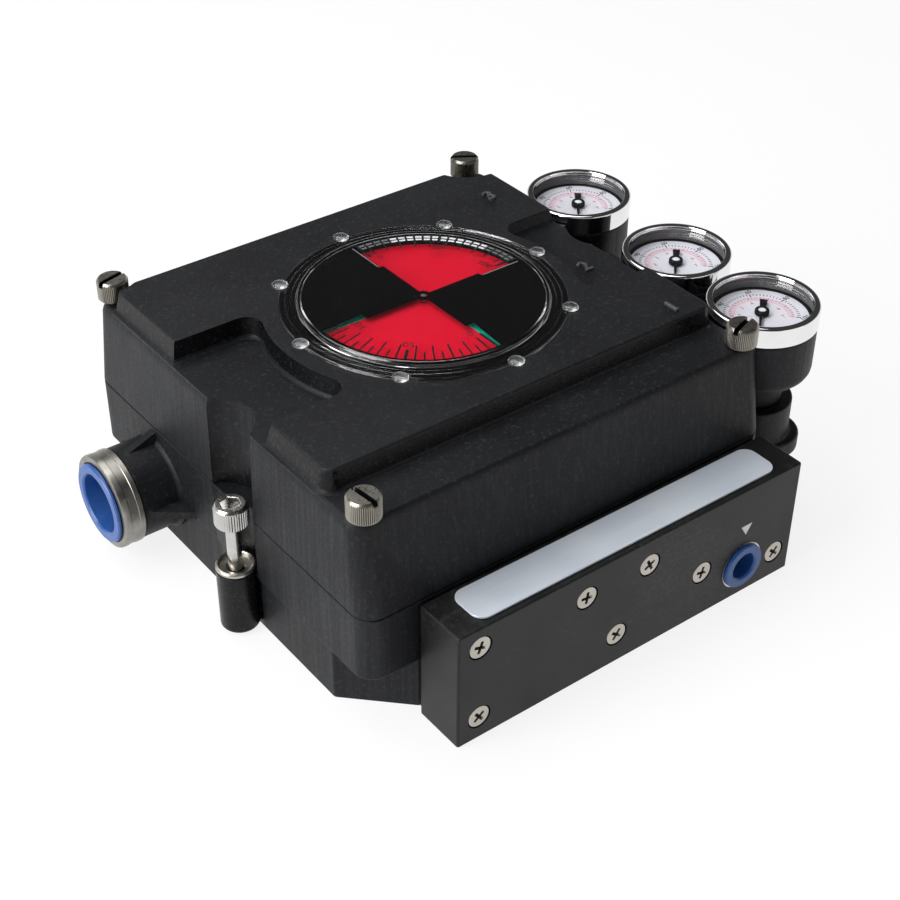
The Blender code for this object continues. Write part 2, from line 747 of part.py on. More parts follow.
def pocket(front, back, depth, mirror=1.0):
    """A side pocket of the plateau: straight ends, round corners and an arc about the window."""
    outside = -HOUSING_HALF - OVERCUT
    reach = POCKET_ARC + POCKET_CORNER
    low_y = front + POCKET_CORNER
    high_y = back - POCKET_CORNER
    low_x = -math.sqrt(reach ** 2 - low_y ** 2)
    high_x = -math.sqrt(reach ** 2 - high_y ** 2)
    low_turn = math.degrees(math.atan2(-low_y, -low_x))
    high_turn = math.degrees(math.atan2(-high_y, -high_x))
    outline = (
        [(outside, front)]
        + arc(low_x, low_y, POCKET_CORNER, -90.0, low_turn, 4)
        + arc(0.0, 0.0, POCKET_ARC, low_turn + 180.0, high_turn + 180.0, 8)[1:-1]
        + arc(high_x, high_y, POCKET_CORNER, high_turn, 90.0, 4)
        + [(outside, back)]
    )
    return prism([(mirror * x, y) for x, y in outline], PLATEAU_Z - depth, PLATEAU_Z + OVERCUT)


def cover_block(bottom):
    """The cover's outer form before any cut: drafted walls, a shoulder, a ledge and the raised plateau."""
    block = loft((
        (bottom, drafted_outline(0.0, 0.0)),
        (LEDGE_Z - SHOULDER_DROP, drafted_outline(SHOULDER_SIDE_INSET, SHOULDER_FRONT_INSET)),
        (LEDGE_Z, drafted_outline(LEDGE_SIDE_INSET, LEDGE_FRONT_INSET)),
    ))
    plateau = loft((
        (LEDGE_Z - LAP, plateau_outline(PLATEAU_DRAFT)),
        (PLATEAU_Z - EDGE_BREAK, plateau_outline(0.0)),
        (PLATEAU_Z, plateau_outline(-EDGE_BREAK)),
    ))
    return fuse(block, plateau)


def build_cover(materials):
    bottom = SEAM_Z + TOUCH_GAP
    cover = cover_block(bottom)
    cut(cover, pocket(LEFT_POCKET_FRONT, LEFT_POCKET_BACK, LEFT_POCKET_DEPTH))
    cut(cover, pocket(RIGHT_POCKET_FRONT, RIGHT_POCKET_BACK, RIGHT_POCKET_DEPTH, mirror=-1.0))
    for _, x, y in thumb_places():
        seat = LEFT_SCREW_SEAT if x < 0.0 else RIGHT_SCREW_SEAT
        if y > 0.0:
            cut(cover, moved(rod(seat, LEDGE_Z, PLATEAU_Z + OVERCUT), x, y))
        bore = rod(THUMB_SHANK_RADIUS + SLIDE_GAP, bottom - OVERCUT, LEDGE_Z + OVERCUT, SMALL_STEPS)
        cut(cover, moved(bore, x, y))
    cut(cover, cover_hollow(bottom))
    for x, y in channel_places():
        cut(cover, moved(rod(COVER_CHANNEL, bottom - OVERCUT, PLATEAU_Z + OVERCUT), x, y))
    notch = GAUGE_RADIUS + GAUGE_CLEARANCE
    for _, y, _ in GAUGES:
        cut(cover, moved(rod(notch, NOTCH_BOTTOM_Z, PLATEAU_Z + OVERCUT, FINE_STEPS), GAUGE_X, y))
    cut_window_seat(cover)
    piece("cover", cover, materials["resin"])


def cover_hollow(bottom):
    """The space under the cover's roof, higher under the window and clear of the gauge notches."""
    roof = LEDGE_Z - COVER_ROOF
    hollow = cavity(bottom - OVERCUT, roof, CAVITY_DRAFT)
    fuse(hollow, rod(POCKET_ARC - WINDOW_WALL, roof - LAP, PLATEAU_Z - COVER_ROOF, FINE_STEPS))
    wall = GAUGE_RADIUS + GAUGE_CLEARANCE + NOTCH_WALL
    for _, y, _ in GAUGES:
        cut(hollow, moved(rod(wall, NOTCH_BOTTOM_Z - COVER_ROOF, PLATEAU_Z + OVERCUT), GAUGE_X, y))
    return hollow


def mask_top_z():
    """The mask lies just under the window's skin."""
    return PLATEAU_Z + TOUCH_GAP + WINDOW_RISE - WINDOW_SKIN - TOUCH_GAP


def cut_window_seat(cover):
    over = PLATEAU_Z + OVERCUT
    cut(cover, rod(DISC_RADIUS + DISC_CLEARANCE, PLATEAU_Z - COVER_ROOF - OVERCUT, over, FINE_STEPS))
    cut(cover, tube(WINDOW_SEAL_INNER, WINDOW_SEAL_OUTER, PLATEAU_Z - WINDOW_SEAL_DEPTH, over, FINE_STEPS))


def build_window(materials):
    bottom = PLATEAU_Z + TOUCH_GAP
    flange_top = bottom + FLANGE_THICKNESS
    top = bottom + WINDOW_RISE
    inner = WINDOW_STEP - WINDOW_SKIRT
    lens = turned((
        (0.0, top), (WINDOW_STEP - WINDOW_EDGE, top), (WINDOW_STEP, top - WINDOW_EDGE),
        (WINDOW_STEP, flange_top), (WINDOW_FLANGE, flange_top), (WINDOW_FLANGE, bottom),
        (inner, bottom), (inner, top - WINDOW_SKIN), (0.0, top - WINDOW_SKIN),
    ), FINE_STEPS)
    lobe_top = flange_top + LOBE_RISE
    foot = bottom + LOBE_FOOT
    for x, y in arc(0.0, 0.0, WINDOW_FLANGE + LOBE_OUTSET, 0.0, 360.0, LOBES)[:-1]:
        lobe = turned((
            (0.0, foot), (LOBE_RADIUS, foot), (LOBE_RADIUS, lobe_top),
            (LOBE_HEAD, lobe_top + 2 * LOBE_DOME / 3), (0.0, lobe_top + LOBE_DOME),
        ), 12)
        fuse(lens, moved(lobe, x, y))
    piece("window_lens", lens, materials["clear"])
    seal = tube(WINDOW_SEAL_INNER + TOUCH_GAP, WINDOW_SEAL_OUTER - TOUCH_GAP,
                PLATEAU_Z - WINDOW_SEAL_DEPTH + TOUCH_GAP, PLATEAU_Z, FINE_STEPS)
    piece("window_seal", seal, materials["rubber"])


def opening_outline(centre_deg):
    """A sector of the indicator mask that the disc shows through, wider by a small step towards its rim."""
    rim = MASK_RADIUS - MASK_RING
    half = SHAFT_TURN_DEG / 2
    outer = half + math.degrees(math.asin(MASK_WIDENING / rim))
    step = half + math.degrees(math.asin(MASK_WIDENING / MASK_STEP_RADIUS))
    return (
        arc(0, 0, rim, centre_deg - outer, centre_deg + outer, 8)
        + arc(0, 0, MASK_STEP_RADIUS, centre_deg + step, centre_deg + half, 1)
        + arc(0, 0, MASK_HUB, centre_deg + half, centre_deg - half, 4)
        + arc(0, 0, MASK_STEP_RADIUS, centre_deg - half, centre_deg - step, 1)
    )


def build_indicator(materials):
    mask_top = mask_top_z()
    below = mask_top - OVERCUT
    above = mask_top + OVERCUT
    mask = rod(MASK_RADIUS, mask_top - MASK_THICKNESS, mask_top, FINE_STEPS)
    for centre_deg in (45.0, 225.0):
        cut(mask, prism(opening_outline(centre_deg), below, above))
    cut(mask, rod(SPINDLE_TIP_RADIUS + SLIDE_GAP, below, above, SMALL_STEPS))
    piece("indicator_mask", mask, materials["mask"])
    disc_top = mask_top - INDICATOR_DEPTH
    disc = tube(SPINDLE_TIP_RADIUS + TOUCH_GAP, DISC_RADIUS, disc_top - DISC_THICKNESS, disc_top, FINE_STEPS)
    piece("indicator_disc", disc, materials["red"])
    return disc_top


def build_shaft(materials, disc_top):
    carrier_top = disc_top - DISC_THICKNESS - TOUCH_GAP
    carrier_rim = carrier_top - CARRIER_RIM
    step = CAM_TOP_Z + CAM_HUB_HEIGHT + SHAFT_ABOVE_CAM
    tip = mask_top_z() - SPINDLE_TIP_DROP
    shaft = turned((
        (0.0, 0.0), (SHAFT_RADIUS - SHAFT_CHAMFER, 0.0), (SHAFT_RADIUS, SHAFT_CHAMFER), (SHAFT_RADIUS, step),
        (SPINDLE_RADIUS, step + SHAFT_TAPER), (SPINDLE_RADIUS, carrier_rim - CARRIER_CONE),
        (CARRIER_RADIUS, carrier_rim), (CARRIER_RADIUS, carrier_top), (SPINDLE_TIP_RADIUS, carrier_top),
        (SPINDLE_TIP_RADIUS, tip), (0.0, tip),
    ))
    piece("main_shaft", shaft, materials["steel"])
    inner = SHAFT_RADIUS + TOUCH_GAP
    outer = inner + BUSHING_WALL
    seal_bottom = SHAFT_LIP + TOUCH_GAP
    seal_top = seal_bottom + SHAFT_SEAL_HEIGHT
    piece("shaft_seal", tube(inner, outer, seal_bottom, seal_top), materials["rubber"])
    bushing = tube(inner, outer, seal_top + TOUCH_GAP, SHAFT_BOSS_Z - BUSHING_RECESS)
    piece("shaft_bushing", bushing, materials["brass"])
    ring_bottom = SHAFT_BOSS_Z + TOUCH_GAP
    ring = tube(inner, SNAP_RING_RADIUS, ring_bottom, ring_bottom + SNAP_RING_HEIGHT)
    piece("shaft_snap_ring", ring, materials["steel"])


def roller_path(turn):
    """Distance and direction of the roller from the shaft after part of the shaft's turn, in radians."""
    share = turn / math.radians(SHAFT_TURN_DEG)
    swing = -share * math.radians(FOLLOWER_TURN_DEG)
    arm = Vector((ROLLER_X - PIVOT_X, -PIVOT_Y))
    x = PIVOT_X + arm.x * math.cos(swing) - arm.y * math.sin(swing)
    y = PIVOT_Y + arm.x * math.sin(swing) + arm.y * math.cos(swing)
    return math.hypot(x, y), math.atan2(y, x) % math.tau


def cam_outline():
    """Cam edge: a rise that follows the roller over the working turn, closed by a smooth return."""
    working = []
    for i in range(-1, CAM_STEPS + 2):
        turn = math.radians(SHAFT_TURN_DEG) * i / CAM_STEPS
        distance, direction = roller_path(turn)
        working.append((direction - turn, distance - ROLLER_RADIUS - 2 * TOUCH_GAP))
    start_angle, start_radius = working[-1]
    end_angle, end_radius = working[0]
    sweep = (end_angle - math.tau) - start_angle
    back = []
    for i in range(1, CAM_STEPS):
        share = i / CAM_STEPS
        blend = 0.5 - 0.5 * math.cos(math.pi * share)
        back.append((start_angle + sweep * share, start_radius + (end_radius - start_radius) * blend))
    outline = [(radius * math.cos(angle), radius * math.sin(angle)) for angle, radius in working + back]
    return list(reversed(outline))


def build_cam(materials):
    hub_top = CAM_TOP_Z + CAM_HUB_HEIGHT
    cam = prism(cam_outline(), CAM_BOTTOM_Z, CAM_TOP_Z)
    fuse(cam, rod(CAM_HUB_RADIUS, CAM_BOTTOM_Z + LAP, hub_top))
    cut(cam, rod(SHAFT_RADIUS + TOUCH_GAP, CAM_BOTTOM_Z - OVERCUT, hub_top + OVERCUT))
    piece("cam", cam, materials["aluminium"])


def coil(radius, wire, turns, bottom, pitch, per_turn=10, sides=5):
    """A round-wire coil about Z with flat ends."""
    shape = bmesh.new()
    rings = []
    for i in range(turns * per_turn + 1):
        angle = math.tau * i / per_turn
        outward = Vector((math.cos(angle), math.sin(angle), 0.0))
        centre = outward * radius + Vector((0.0, 0.0, bottom + pitch * i / per_turn))
        ring = []
        for across, up in arc(0, 0, wire, 0, 360, sides)[:-1]:
            ring.append(shape.verts.new(centre + outward * across + Vector((0.0, 0.0, up))))
        rings.append(ring)
    for low, high in zip(rings, rings[1:]):
        for k in range(sides):
            j = (k + 1) % sides
            shape.faces.new((low[k], low[j], high[j], high[k]))
    shape.faces.new(list(reversed(rings[0])))
    shape.faces.new(rings[-1])
    return solid(shape)


def build_follower(materials):
    arm_top = ARM_BOTTOM_Z + ARM_THICKNESS
    half = ARM_WIDTH / 2
    reach = math.hypot(ROLLER_X - PIVOT_X, PIVOT_Y)
    arm = prism(arc(0, 0, half, 90, 270, 6) + arc(reach, 0, half, 270, 450, 6), ARM_BOTTOM_Z, arm_top)
    aim = math.atan2(-PIVOT_Y, ROLLER_X - PIVOT_X)
    moved(arm, PIVOT_X, PIVOT_Y, 0.0, Matrix.Rotation(aim, 4, "Z"))
    hub_bottom = PIVOT_COLLAR_Z + TOUCH_GAP
    fuse(arm, moved(rod(ARM_HUB_RADIUS, hub_bottom, arm_top, 16), PIVOT_X, PIVOT_Y))
    fuse(arm, moved(rod(ROLLER_PIN_RADIUS, CAM_BOTTOM_Z - SLIDE_GAP, ARM_BOTTOM_Z + LAP, 12), ROLLER_X, 0.0))
    bore = rod(PIVOT_RADIUS + SLIDE_GAP, hub_bottom - OVERCUT, arm_top + OVERCUT, SMALL_STEPS)
    cut(arm, moved(bore, PIVOT_X, PIVOT_Y))
    piece("follower_arm", arm, materials["steel"], (PIVOT_X, PIVOT_Y, ARM_BOTTOM_Z))
    roller = tube(ROLLER_PIN_RADIUS + SLIDE_GAP, ROLLER_RADIUS, CAM_BOTTOM_Z, CAM_TOP_Z, 16)
    piece("follower_roller", moved(roller, ROLLER_X), materials["brass"], (ROLLER_X, 0.0, CAM_BOTTOM_Z))
    build_pivot(materials, arm_top)


def build_pivot(materials, arm_top):
    """The follower's pin, with a collar under the arm, and the return spring about the collar."""
    collar_bottom = DECK_TOP_Z + TOUCH_GAP
    collar_radius = ARM_HUB_RADIUS - TOUCH_GAP
    head_bottom = arm_top + TOUCH_GAP
    head_top = head_bottom + PIVOT_HEAD_HEIGHT
    head_radius = PIVOT_RADIUS + PIVOT_HEAD_LIP
    pin = turned((
        (0.0, DECK_BOTTOM_Z), (PIVOT_RADIUS, DECK_BOTTOM_Z), (PIVOT_RADIUS, collar_bottom),
        (collar_radius, collar_bottom), (collar_radius, PIVOT_COLLAR_Z), (PIVOT_RADIUS, PIVOT_COLLAR_Z),
        (PIVOT_RADIUS, head_bottom), (head_radius, head_bottom), (head_radius, head_top), (0.0, head_top),
    ), 14)
    piece("pivot_pin", moved(pin, PIVOT_X, PIVOT_Y), materials["steel"])
    spring_radius = collar_radius + 2 * SLIDE_GAP + SPRING_WIRE
    pitch = 2 * SPRING_WIRE + TOUCH_GAP
    spring = coil(spring_radius, SPRING_WIRE, SPRING_TURNS, collar_bottom + SPRING_WIRE, pitch)
    piece("return_spring", moved(spring, PIVOT_X, PIVOT_Y), materials["steel"])


def build_deck(materials):
    below = DECK_BOTTOM_Z - OVERCUT
    above = DECK_TOP_Z + OVERCUT
    outline = rounded(DECK_LEFT, DECK_RIGHT, DECK_FRONT, DECK_BACK, DECK_CORNER)
    deck = prism(outline, DECK_BOTTOM_Z, DECK_TOP_Z)
    cut(deck, rod(DECK_HOLE, below, above))
    cut(deck, moved(rod(PIVOT_RADIUS + TOUCH_GAP, below, above, SMALL_STEPS), PIVOT_X, PIVOT_Y))
    for x, y in post_places():
        cut(deck, moved(rod(POST_TIP_RADIUS + TOUCH_GAP, below, above, SMALL_STEPS), x, y))
    piece("mechanism_plate", deck, materials["aluminium"])


def build_valve_body(materials):
    half = SPOOL_BODY_WIDTH / 2
    top = SPOOL_Z + SPOOL_BODY_COVER
    body = box(SPOOL_BODY_LEFT, SPOOL_BODY_RIGHT, SPOOL_Y - half, SPOOL_Y + half, DECK_TOP_Z + TOUCH_GAP, top)
    bore = rod(SPOOL_RADIUS + TOUCH_GAP, SPOOL_BODY_LEFT - OVERCUT, SPOOL_BODY_RIGHT + OVERCUT, 14)
    cut(body, moved(bore, 0.0, SPOOL_Y, SPOOL_Z, ALONG_X))
    middle = (SPOOL_BODY_LEFT + SPOOL_BODY_RIGHT) / 2
    for step in (-1, 0, 1):
        port = rod(SPOOL_PORT_RADIUS, SPOOL_Z, top + OVERCUT, SMALL_STEPS)
        cut(body, moved(port, middle + SPOOL_PORT_PITCH * step, SPOOL_Y))
    piece("pilot_valve_body", body, materials["aluminium"])


def build_spool(materials):
    middle = (SPOOL_BODY_LEFT + SPOOL_BODY_RIGHT) / 2
    start = CAPSULE_RIGHT + 2 * TOUCH_GAP
    shoulder = SPOOL_BODY_LEFT - SPOOL_SHOULDER
    end = SPOOL_BODY_RIGHT + SPOOL_TAIL
    neck = SPOOL_RADIUS - SPOOL_NECK_DEPTH
    half = SPOOL_NECK_LENGTH / 2
    push = SPOOL_PUSH_RADIUS
    profile = [(0.0, start), (push, start), (push, shoulder), (SPOOL_RADIUS, shoulder)]
    for side in (-0.5, 0.5):
        x = middle + SPOOL_LAND_PITCH * side
        profile += [(SPOOL_RADIUS, x - half), (neck, x - half), (neck, x + half), (SPOOL_RADIUS, x + half)]
    profile += [(SPOOL_RADIUS, end), (0.0, end)]
    spool = moved(turned(profile, 14), 0.0, SPOOL_Y, SPOOL_Z, ALONG_X)
    piece("pilot_spool", spool, materials["steel"], (middle, SPOOL_Y, SPOOL_Z))


def build_capsule(materials):
    middle = (CAPSULE_LEFT + CAPSULE_RIGHT) / 2
    edge = CAPSULE_CHAMFER
    capsule = turned((
        (0.0, CAPSULE_LEFT), (CAPSULE_RADIUS - edge, CAPSULE_LEFT), (CAPSULE_RADIUS, CAPSULE_LEFT + edge),
        (CAPSULE_RADIUS, middle - CAPSULE_FLANGE_HALF), (CAPSULE_FLANGE, middle - CAPSULE_FLANGE_HALF),
        (CAPSULE_FLANGE, middle + CAPSULE_FLANGE_HALF), (CAPSULE_RADIUS, middle + CAPSULE_FLANGE_HALF),
        (CAPSULE_RADIUS, CAPSULE_RIGHT - edge), (CAPSULE_RADIUS - edge, CAPSULE_RIGHT), (0.0, CAPSULE_RIGHT),
    ))
    moved(capsule, 0.0, SPOOL_Y, SPOOL_Z, ALONG_X)
    foot = box(CAPSULE_LEFT + CAPSULE_FOOT_INSET, CAPSULE_RIGHT - CAPSULE_FOOT_INSET,
               SPOOL_Y - CAPSULE_FOOT_HALF, SPOOL_Y + CAPSULE_FOOT_HALF, DECK_TOP_Z + TOUCH_GAP, SPOOL_Z)
    fuse(capsule, foot)
    piece("signal_diaphragm", capsule, materials["aluminium"])


def build_transducer(materials):
    floor = DECK_TOP_Z + TOUCH_GAP
    foot_radius = TRANSDUCER_RADIUS + TRANSDUCER_FOOT_LIP
    foot_top = floor + TRANSDUCER_FOOT_HEIGHT
    top = floor + TRANSDUCER_HEIGHT
    shoulder = top - TRANSDUCER_CAP_HEIGHT
    transducer = turned((
        (0.0, floor), (foot_radius, floor), (foot_radius, foot_top), (TRANSDUCER_RADIUS, foot_top),
        (TRANSDUCER_RADIUS, shoulder), (TRANSDUCER_CAP_RADIUS, shoulder), (TRANSDUCER_CAP_RADIUS, top),
        (0.0, top),
    ))
    piece("current_transducer", moved(transducer, TRANSDUCER_X, TRANSDUCER_Y), materials["resin"])


def build_terminals(materials):
    floor = DECK_TOP_Z + TOUCH_GAP
    top = floor + TERMINAL_HEIGHT
    half = TERMINAL_LENGTH / 2
    deep = TERMINAL_DEPTH / 2
    block = box(TERMINAL_X - half, TERMINAL_X + half, TERMINAL_Y - deep, TERMINAL_Y + deep, floor, top)
    pitch = TERMINAL_LENGTH / TERMINALS
    well_bottom = top - TERMINAL_WELL_DEPTH
    head_top = top - TERMINAL_HEAD_DROP
    for i in range(TERMINALS):
        x = TERMINAL_X - half + pitch * (i + 0.5)
        cut(block, moved(rod(TERMINAL_WELL_RADIUS, well_bottom, top + OVERCUT, SMALL_STEPS), x, TERMINAL_Y))
        screw = rod(TERMINAL_WELL_RADIUS - 2 * TOUCH_GAP, well_bottom + TOUCH_GAP, head_top, SMALL_STEPS)
        cut(screw, box(-TERMINAL_WELL_RADIUS, TERMINAL_WELL_RADIUS, -TERMINAL_SLOT_HALF, TERMINAL_SLOT_HALF,
                       head_top - TERMINAL_SLOT_DEPTH, head_top + OVERCUT))
        piece(f"terminal_screw_{i + 1}", moved(screw, x, TERMINAL_Y), materials["nickel"])
    piece("terminal_block", block, materials["resin"])


def manifold_outline(inset):
    front = MANIFOLD_FRONT + MANIFOLD_EDGE
    face = MANIFOLD_FRONT + inset
    left = MANIFOLD_LEFT + inset
    right = MANIFOLD_RIGHT - inset
    inner_left = MANIFOLD_LEFT + MANIFOLD_EDGE
    inner_right = MANIFOLD_RIGHT - MANIFOLD_EDGE
    return [(left, front), (inner_left, face), (inner_right, face), (right, front),
            (right, MANIFOLD_BACK), (left, MANIFOLD_BACK)]


def flat_screw_hole():
    gap = TOUCH_GAP
    outside = MANIFOLD_FRONT - OVERCUT
    end = MANIFOLD_BACK + OVERCUT
    return turned((
        (0.0, outside), (FLAT_HEAD_RADIUS + gap, outside),
        (FLAT_HEAD_RADIUS + gap, MANIFOLD_FRONT + FLAT_HEAD_RIM + gap),
        (FLAT_SHANK_RADIUS + gap, MANIFOLD_FRONT + FLAT_HEAD_DEPTH + gap),
        (FLAT_SHANK_RADIUS + gap, end), (0.0, end),
    ), 12)


def supply_port():
    outside = MANIFOLD_FRONT - OVERCUT
    floor = MANIFOLD_FRONT + PORT_DEPTH
    end = MANIFOLD_BACK + OVERCUT
    return turned((
        (0.0, outside), (PORT_RADIUS, outside), (PORT_RADIUS, floor), (PORT_PASSAGE, floor + PORT_CONE),
        (PORT_PASSAGE, end), (0.0, end),
    ))


def build_manifold_block(materials):
    edge = MANIFOLD_EDGE
    block = loft((
        (0.0, manifold_outline(edge)), (edge, manifold_outline(0.0)),
        (MANIFOLD_TOP_Z - edge, manifold_outline(0.0)), (MANIFOLD_TOP_Z, manifold_outline(edge)),
    ))
    for x, z in MANIFOLD_HOLES:
        cut(block, moved(flat_screw_hole(), x, 0.0, z, ALONG_Y))
    cut(block, moved(supply_port(), PORT_X, 0.0, PORT_Z, ALONG_Y))
    piece("manifold_block", block, materials["manifold"])


def build_manifold_gasket(materials):
    front = MANIFOLD_BACK + TOUCH_GAP
    gasket = box(MANIFOLD_LEFT + GASKET_INSET, MANIFOLD_RIGHT - GASKET_INSET, front, front + GASKET,
                 GASKET_INSET, MANIFOLD_TOP_Z - GASKET_INSET)
    low = MANIFOLD_BACK - OVERCUT
    high = MANIFOLD_BACK + OVERCUT
    for x, z in MANIFOLD_HOLES:
        cut(gasket, moved(rod(FLAT_SHANK_RADIUS + TOUCH_GAP, low, high, SMALL_STEPS), x, 0.0, z, ALONG_Y))
    cut(gasket, moved(rod(PORT_PASSAGE, low, high, SMALL_STEPS), PORT_X, 0.0, PORT_Z, ALONG_Y))
    piece("manifold_gasket", gasket, materials["rubber"])


def build_manifold_screws(materials):
    """Countersunk screws through the block and its gasket into the housing wall."""
    length = -HOUSING_HALF + FLAT_SCREW_BITE - MANIFOLD_FRONT
    screw = moved(turned((
        (0.0, 0.0), (FLAT_HEAD_RADIUS, 0.0), (FLAT_HEAD_RADIUS, FLAT_HEAD_RIM),
        (FLAT_SHANK_RADIUS, FLAT_HEAD_DEPTH), (FLAT_SHANK_RADIUS, length - FLAT_TIP),
        (FLAT_SHANK_RADIUS - FLAT_TIP, length), (0.0, length),
    ), 12), turn=ALONG_Y)
    for number, (x, z) in enumerate(MANIFOLD_HOLES, 1):
        placed = moved(copy_of(screw), x, MANIFOLD_FRONT + FLAT_HEAD_SINK, z)
        piece(f"manifold_screw_{number}", placed, materials["nickel"])
    bpy.data.objects.remove(screw)


def build_name_plate(materials):
    middle = (MANIFOLD_FRONT + MANIFOLD_BACK) / 2
    half = PLATE_WIDTH / 2
    bottom = MANIFOLD_TOP_Z + TOUCH_GAP
    outline = rounded(MANIFOLD_LEFT + PLATE_END_INSET, MANIFOLD_RIGHT - PLATE_END_INSET,
                      middle - half, middle + half, half, 8)
    piece("name_plate", prism(outline, bottom, bottom + PLATE_THICKNESS), materials["plate"])


def plug(flange, outer, seat, depth, segments):
    """A hollow transit plug about Z, whose flange rests on the face at the seat's height."""
    floor = seat + depth - PLUG_FLOOR
    end = seat + depth
    inner = outer - PLUG_WALL
    return turned((
        (0.0, floor), (inner - PLUG_TAPER, floor), (inner, seat - PLUG_LIP), (flange, seat - PLUG_LIP),
        (flange, seat), (outer, seat), (outer - PLUG_TAPER, end), (0.0, end),
    ), segments)


def build_supply_plug(materials):
    seat = MANIFOLD_FRONT - TOUCH_GAP
    body = plug(SUPPLY_PLUG_FLANGE, PORT_RADIUS - TOUCH_GAP, seat, SUPPLY_PLUG_DEPTH, ROUND_STEPS)
    piece("supply_plug", moved(body, PORT_X, 0.0, PORT_Z, ALONG_Y), materials["blue"])


def build_conduit_entry(materials):
    inner = CONDUIT_NOSE_RADIUS + TOUCH_GAP
    back = CONDUIT_END + CONDUIT_RING_LENGTH
    ring = turned((
        (inner, CONDUIT_END), (CONDUIT_RING_RADIUS - RING_EDGE, CONDUIT_END),
        (CONDUIT_RING_RADIUS, CONDUIT_END + RING_EDGE), (CONDUIT_RING_RADIUS, back), (inner, back),
    ), FINE_STEPS, closed=True)
    piece("conduit_ring", moved(ring, 0.0, CONDUIT_Y, CONDUIT_Z, ALONG_X), materials["ring"])
    seat = CONDUIT_END - TOUCH_GAP
    body = plug(CONDUIT_NOSE_RADIUS, CONDUIT_BORE - TOUCH_GAP, seat, CONDUIT_PLUG_DEPTH, ROUND_STEPS)
    piece("conduit_plug", moved(body, 0.0, CONDUIT_Y, CONDUIT_Z, ALONG_X), materials["blue"])


def knurled_outline():
    points = []
    for i in range(2 * THUMB_KNURLS):
        radius = THUMB_HEAD_RADIUS - KNURL_DEPTH * (i % 2)
        angle = math.pi * i / THUMB_KNURLS
        points.append((radius * math.cos(angle), radius * math.sin(angle)))
    return points


def build_thumb_screws(materials):
    bottom = LEDGE_Z + TOUCH_GAP
    top = bottom + THUMB_HEAD_HEIGHT
    plain = arc(0, 0, THUMB_HEAD_RADIUS - THUMB_EDGE, 0, 360, 2 * THUMB_KNURLS)[:-1]
    knurled = knurled_outline()
    master = loft((
        (bottom, plain), (bottom + THUMB_EDGE, knurled), (top - THUMB_EDGE, knurled), (top, plain),
    ))
    fuse(master, rod(THUMB_SHANK_RADIUS, SEAM_Z - THUMB_SHANK_BITE, bottom + LAP, SMALL_STEPS))
    half = SLOT_WIDTH / 2
    across = 2 * THUMB_HEAD_RADIUS
    cut(master, box(-across, across, -half, half, top - SLOT_DEPTH, top + OVERCUT))
    for name, x, y in thumb_places():
        piece(name, moved(copy_of(master), x, y), materials["nickel"], (x, y, bottom))
    bpy.data.objects.remove(master)


def mounting_screw():
    """Socket-head screw with a slim shank, its tip on the surface that the housing stands on."""
    top = CAP_LENGTH + CAP_HEAD_HEIGHT
    screw = turned((
        (0.0, 0.0), (CAP_THREAD_RADIUS - CAP_THREAD_CHAMFER, 0.0), (CAP_THREAD_RADIUS, CAP_THREAD_CHAMFER),
        (CAP_THREAD_RADIUS, CAP_THREAD_LENGTH), (CAP_SHANK_RADIUS, CAP_THREAD_LENGTH + CAP_THREAD_CHAMFER),
        (CAP_SHANK_RADIUS, CAP_LENGTH), (CAP_HEAD_RADIUS, CAP_LENGTH), (CAP_HEAD_RADIUS, top - CAP_EDGE),
        (CAP_HEAD_RADIUS - CAP_EDGE, top), (0.0, top),
    ), 16)
    hexagon = arc(0, 0, CAP_HEX_RADIUS, 0, 360, 6)[:-1]
    return cut(screw, prism(hexagon, top - CAP_HEX_DEPTH, top + OVERCUT))


def lug_bushing():
    inner = CAP_SHANK_RADIUS + SLIDE_GAP
    sleeve = LUG_BORE - TOUCH_GAP
    seat = LUG_TOP_Z + TOUCH_GAP
    top = seat + BUSHING_FLANGE
    return turned((
        (inner, seat - BUSHING_LENGTH), (sleeve, seat - BUSHING_LENGTH), (sleeve, seat), (LUG_RADIUS, seat),
        (LUG_RADIUS, top - BUSHING_EDGE), (LUG_RADIUS - BUSHING_EDGE, top), (inner, top),
    ), 16, closed=True)


def build_mounting_screws(materials):
    for side, x, y in lug_places():
        piece(f"mounting_screw_{side}", moved(mounting_screw(), x, y), materials["steel"], (x, y, CAP_LENGTH))
        piece(f"lug_bushing_{side}", moved(lug_bushing(), x, y), materials["nickel"])


def gauge_case():
    """The rear case, collar and stem, with a bore for the pointer's pin."""
    top = BEZEL_BOTTOM_Z - TOUCH_GAP
    collar_bottom = BOSS_TOP_Z + TOUCH_GAP
    stem_end = collar_bottom - STEM_LENGTH
    side = GAUGE_RADIUS - TOUCH_GAP
    pin_end = top - PIN_DEPTH - TOUCH_GAP
    return turned((
        (0.0, stem_end), (STEM_RADIUS, stem_end), (STEM_RADIUS, collar_bottom),
        (COLLAR_RADIUS, collar_bottom),
        (COLLAR_RADIUS, CASE_BOTTOM_Z), (side - CASE_SHOULDER, CASE_BOTTOM_Z),
        (side - CASE_BEVEL, CASE_BOTTOM_Z + CASE_BEVEL), (side, CASE_BOTTOM_Z + CASE_SHOULDER), (side, top),
        (PIN_BORE, top), (PIN_BORE, pin_end), (0.0, pin_end),
    ))


def gauge_bezel():
    lip = GAUGE_RADIUS - BEZEL_LIP
    wall = GAUGE_RADIUS - BEZEL_WALL
    rebate = BEZEL_TOP_Z - LENS_RECESS + TOUCH_GAP
    return turned((
        (wall, BEZEL_BOTTOM_Z), (GAUGE_RADIUS, BEZEL_BOTTOM_Z), (GAUGE_RADIUS, BEZEL_TOP_Z - BEZEL_EDGE),
        (GAUGE_RADIUS - BEZEL_EDGE, BEZEL_TOP_Z), (lip, BEZEL_TOP_Z), (lip, rebate), (wall, rebate),
    ), closed=True)


